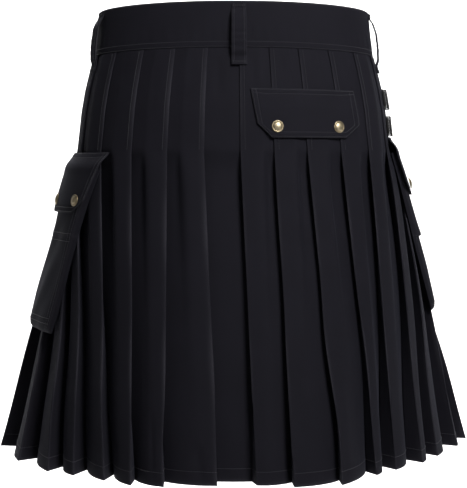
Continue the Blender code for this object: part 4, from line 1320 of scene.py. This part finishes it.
class KILT_OT_straps(bpy.types.Operator):
    """Makes the two leather hip straps with tabs, buckles, prongs and keepers"""

    bl_idname = "kilt.make_straps"
    bl_label = "Hip straps"

    def execute(self, context):
        for name, height in STRAPS:
            self.make_leather(name, height)
            self.make_buckle(name, height)
        return {"FINISHED"}

    def ribbon(self, name, arcs, lifts, height, half, node, flat):
        """A leather strip: rounded across, its thickness from a half ellipse at both edges."""
        grid = strap_grid(arcs, lifts, height, half, 13)
        across = np.abs(np.linspace(-1, 1, 13))
        thick = LEATHER * 0.92 * (0.35 + 0.65 * np.sqrt(np.clip(1 - across**8, 0, 1)))
        wear_and_highlight = np.broadcast_to((across**8 * 0.5)[:, None], grid.shape[:2])
        spread = np.broadcast_to(thick[:, None], grid.shape[:2])
        made = thickened(grid, spread, name, finish_of("leather"), wear_and_highlight)
        place(made, "strap_leather", (node,), flat, "laid")
        return grid

    def make_leather(self, name, height):
        half_wall = LEATHER / 2
        from_buckle = np.array([
            -0.040, -0.028, -0.018, -0.013, -0.009, -0.001, 0.006, 0.015, 0.028, 0.043,
        ])
        knots = np.concatenate([BUCKLE_ARC + from_buckle, [0.350, STRAP_APRON_ARC]])
        apron = TRIM_CLEAR + 1.3 * LAYER_PITCH
        heights = np.array([
            SECOND_LAYER, SECOND_LAYER, SECOND_LAYER, OVER_BAR, OVER_BAR, OVER_BAR, 0.75 * OVER_BAR,
            0.55 * OVER_BAR, TRIM_CLEAR + 0.001, TRIM_CLEAR, apron, apron,
        ])
        arcs = np.linspace(STRAP_TIP_ARC, STRAP_APRON_ARC, 110)
        lifts = np.interp(arcs, knots, heights)
        lifts = np.convolve(np.pad(lifts, 2, mode="edge"), np.ones(5) / 5, mode="valid") + half_wall
        tip = np.clip((arcs - STRAP_TIP_ARC) / 0.012, 0, 1)
        half = STRAP_WIDTH / 2 * np.clip(0.35 + 0.65 * np.sqrt(1 - (1 - tip) ** 2), 0, 1)
        grid = self.ribbon(f"strap_{name}_leather", arcs, lifts, height, half, f"strap_{name}", (0.200, STRAP_WIDTH))
        tab_arcs = np.linspace(TAB_END_ARC, BUCKLE_ARC - 0.006, 30)
        tab = self.ribbon(
            f"strap_tab_{name}_leather", tab_arcs, np.full(30, TRIM_CLEAR + half_wall), height,
            np.full(30, STRAP_WIDTH / 2), f"strap_tab_{name}", (0.060, STRAP_WIDTH),
        )
        outer = grid + grid_normals(grid) * half_wall * 0.92
        u = np.linspace(0.02, 0.99, 200)
        runs = [surface_run(outer, at, u) for at in (0.12, 0.88)]
        box = np.linspace(0.12, 0.88, 24)
        runs += [surface_run(outer, box, at) for at in (0.90, 0.985)]
        top = tab + grid_normals(tab) * half_wall * 0.92
        runs += [surface_run(top, at, np.linspace(0.03, 0.3, 24)) for at in (0.12, 0.88)]
        runs += [surface_run(top, box, at) for at in (0.05, 0.28)]
        place(thread_object(f"strap_{name}_stitches", runs, finish_of("thread"), pitch=0.0036), "strap_leather")
        half_up, width = STRAP_WIDTH / 2 + 0.0016, 0.008
        lift = SECOND_LAYER + LEATHER + SEAM_GAP + 0.0011
        turn = np.linspace(0, math.pi, 25)
        rise = TRIM_CLEAR + 0.0008 + (lift - TRIM_CLEAR - 0.0008) * np.clip(np.sin(turn) * 4.0, 0, 1)
        level = height + half_up * np.clip(np.cos(turn) * 1.06, -1, 1)
        arcs = np.linspace(KEEPER_ARC - width / 2, KEEPER_ARC + width / 2, 7)
        rows = [skin_row(arcs / SEAM_ROUND, h, l) for h, l in zip(level, rise)]
        grid = np.array(rows)
        made = thickened(
            grid, np.full(grid.shape[:2], 0.0014), f"strap_keeper_{name}_leather", finish_of("leather"),
            np.zeros(grid.shape[:2]),
        )
        place(made, "strap_leather", (f"strap_keeper_{name}",))

    def make_buckle(self, name, height):
        rise = 0.55 * OVER_BAR + LEATHER - SECOND_LAYER + 0.0012
        here, along, up, out = skin_frame(
            BUCKLE_ARC / SEAM_ROUND, height, SECOND_LAYER + SEAM_GAP + BUCKLE_WIRE
        )
        turn = np.linspace(0, 2 * math.pi, 96, endpoint=False)
        power = 0.38
        x = BUCKLE_HALF[0] * np.sign(np.cos(turn)) * np.abs(np.cos(turn)) ** power
        y = BUCKLE_HALF[1] * np.sign(np.sin(turn)) * np.abs(np.sin(turn)) ** power
        z = rise * (x + BUCKLE_HALF[0]) / (2 * BUCKLE_HALF[0])
        path = here + (x + 0.006)[:, None] * along + y[:, None] * up + z[:, None] * out
        points, faces = tube_mesh(path, BUCKLE_WIRE * 0.98, 14, True)
        made = mesh_object(f"buckle_frame_{name}_metal", points, faces, finish_of("brass"), wear_and_highlight=np.full(len(points), 0.1))
        place(made, "buckle_brass", (f"buckle_frame_{name}",))
        top = OVER_BAR + LEATHER - SECOND_LAYER + 0.0008
        knots = np.array([(-0.0065, top - 0.0008), (-0.002, top), (0.006, top), (0.014, top - 0.0004), (0.0235, rise + 0.0032)])
        s = np.linspace(0, 4, 30)
        line = cubic(np.arange(5.0), knots, s)
        path = here + line[:, :1] * along + line[:, 1:] * out
        radius = 0.0010 * np.interp(s, (0, 0.4, 3.4, 4), (0.8, 1.0, 0.9, 0.5))
        points, faces = tube_mesh(path, radius, 12, False)
        size = len(points)
        made = mesh_object(f"buckle_prong_{name}_metal", points, faces, finish_of("brass"), wear_and_highlight=np.full(size, 0.2))
        place(made, "buckle_brass", (f"buckle_prong_{name}",))


class KILT_OT_stage(bpy.types.Operator):
    """Makes the floor and backdrop, the studio lights and the camera at the photograph's view"""

    bl_idname = "kilt.make_stage"
    bl_label = "Stage"

    def execute(self, context):
        scene = context.scene
        run = np.array([
            (-8.0, FLOOR_HEIGHT), (3.2, FLOOR_HEIGHT), (3.9, FLOOR_HEIGHT + 0.1),
            (4.4, FLOOR_HEIGHT + 0.5), (4.6, FLOOR_HEIGHT + 1.2), (4.6, FLOOR_HEIGHT + 7.0),
        ])
        x = np.array([-9.0, 9.0])
        grid = np.stack([np.column_stack([np.full(len(run), v), run]) for v in x], 1)
        paper = mesh_object("studio_paper", grid.reshape(-1, 3), grid_faces(len(run), 2), finish_of("stage"))
        world = bpy.data.worlds.new("studio_air")
        world.use_nodes = True
        back = world.node_tree.nodes["Background"]
        back.inputs["Color"].default_value = (1.0, 1.0, 1.0, 1.0)
        back.inputs["Strength"].default_value = 0.03
        scene.world = world
        for name, spot, size, power in (
            ("key", (0.62, -1.20, 0.75), 0.5, 31.0),
            ("fill", (-2.2, -2.6, 0.6), 1.6, 3.0),
            ("top", (0.6, -0.9, 2.4), 1.2, 8.0),
            ("floor_wash", (0.0, 2.5, 2.5), 2.8, 360.0),
        ):
            lamp = bpy.data.lights.new(name, "AREA")
            lamp.size, lamp.energy = size, power
            holder = bpy.data.objects.new(name, lamp)
            scene.collection.objects.link(holder)
            holder.location = spot
            target = np.array((0.0, 0.0, -0.3)) if name != "floor_wash" else np.array((0.0, 4.0, -0.9))
            aim = target - np.array(spot)
            flat = math.hypot(aim[0], aim[1])
            holder.rotation_euler = (math.atan2(flat, -aim[2]), 0.0, math.atan2(aim[1], aim[0]) - math.pi / 2)
        view = bpy.data.cameras.new("photo_view")
        view.lens, view.sensor_width, view.sensor_fit = CAMERA_LENS, 36.0, "AUTO"
        view.clip_end = 50.0
        holder = bpy.data.objects.new("photo_view", view)
        scene.collection.objects.link(holder)
        holder.location = (0.0, -CAMERA_DISTANCE, CAMERA_HEIGHT)
        holder.rotation_euler = (math.pi / 2 - CAMERA_TILT, 0.0, 0.0)
        scene.camera = holder
        scene.view_settings.view_transform = "Standard"
        return {"FINISHED"}


class KILT_PT_panel(bpy.types.Panel):
    """Lists the kilt's pieces, sizes and colours"""

    bl_label = "Utility Kilt"
    bl_idname = "KILT_PT_panel"
    bl_space_type = "VIEW_3D"
    bl_region_type = "UI"
    bl_category = "Kilt"

    def draw(self, context):
        for group in (context.scene.kilt_sizes, context.scene.kilt_colours):
            for name in group.__annotations__:
                self.layout.prop(group, name)
        for operator in OPERATORS:
            self.layout.operator(operator.bl_idname)


OPERATORS = (
    KILT_OT_stage, KILT_OT_skirt, KILT_OT_waistband, KILT_OT_belt_loops, KILT_OT_rear_flap,
    KILT_OT_pockets, KILT_OT_snaps, KILT_OT_straps,
)
CLASSES = (KiltSizes, KiltColours, *OPERATORS, KILT_PT_panel)


def register():
    for item in CLASSES:
        bpy.utils.register_class(item)
    bpy.types.Scene.kilt_sizes = PointerProperty(type=KiltSizes)
    bpy.types.Scene.kilt_colours = PointerProperty(type=KiltColours)


def unregister():
    del bpy.types.Scene.kilt_sizes
    del bpy.types.Scene.kilt_colours
    for item in reversed(CLASSES):
        bpy.utils.unregister_class(item)


def main():
    register()
    bpy.ops.kilt.make_stage()
    bpy.ops.kilt.make_skirt()
    bpy.ops.kilt.make_waistband()
    bpy.ops.kilt.make_belt_loops()
    bpy.ops.kilt.make_rear_flap()
    bpy.ops.kilt.make_pockets()
    bpy.ops.kilt.make_snaps()
    bpy.ops.kilt.make_straps()


if __name__ == "__main__":
    main()
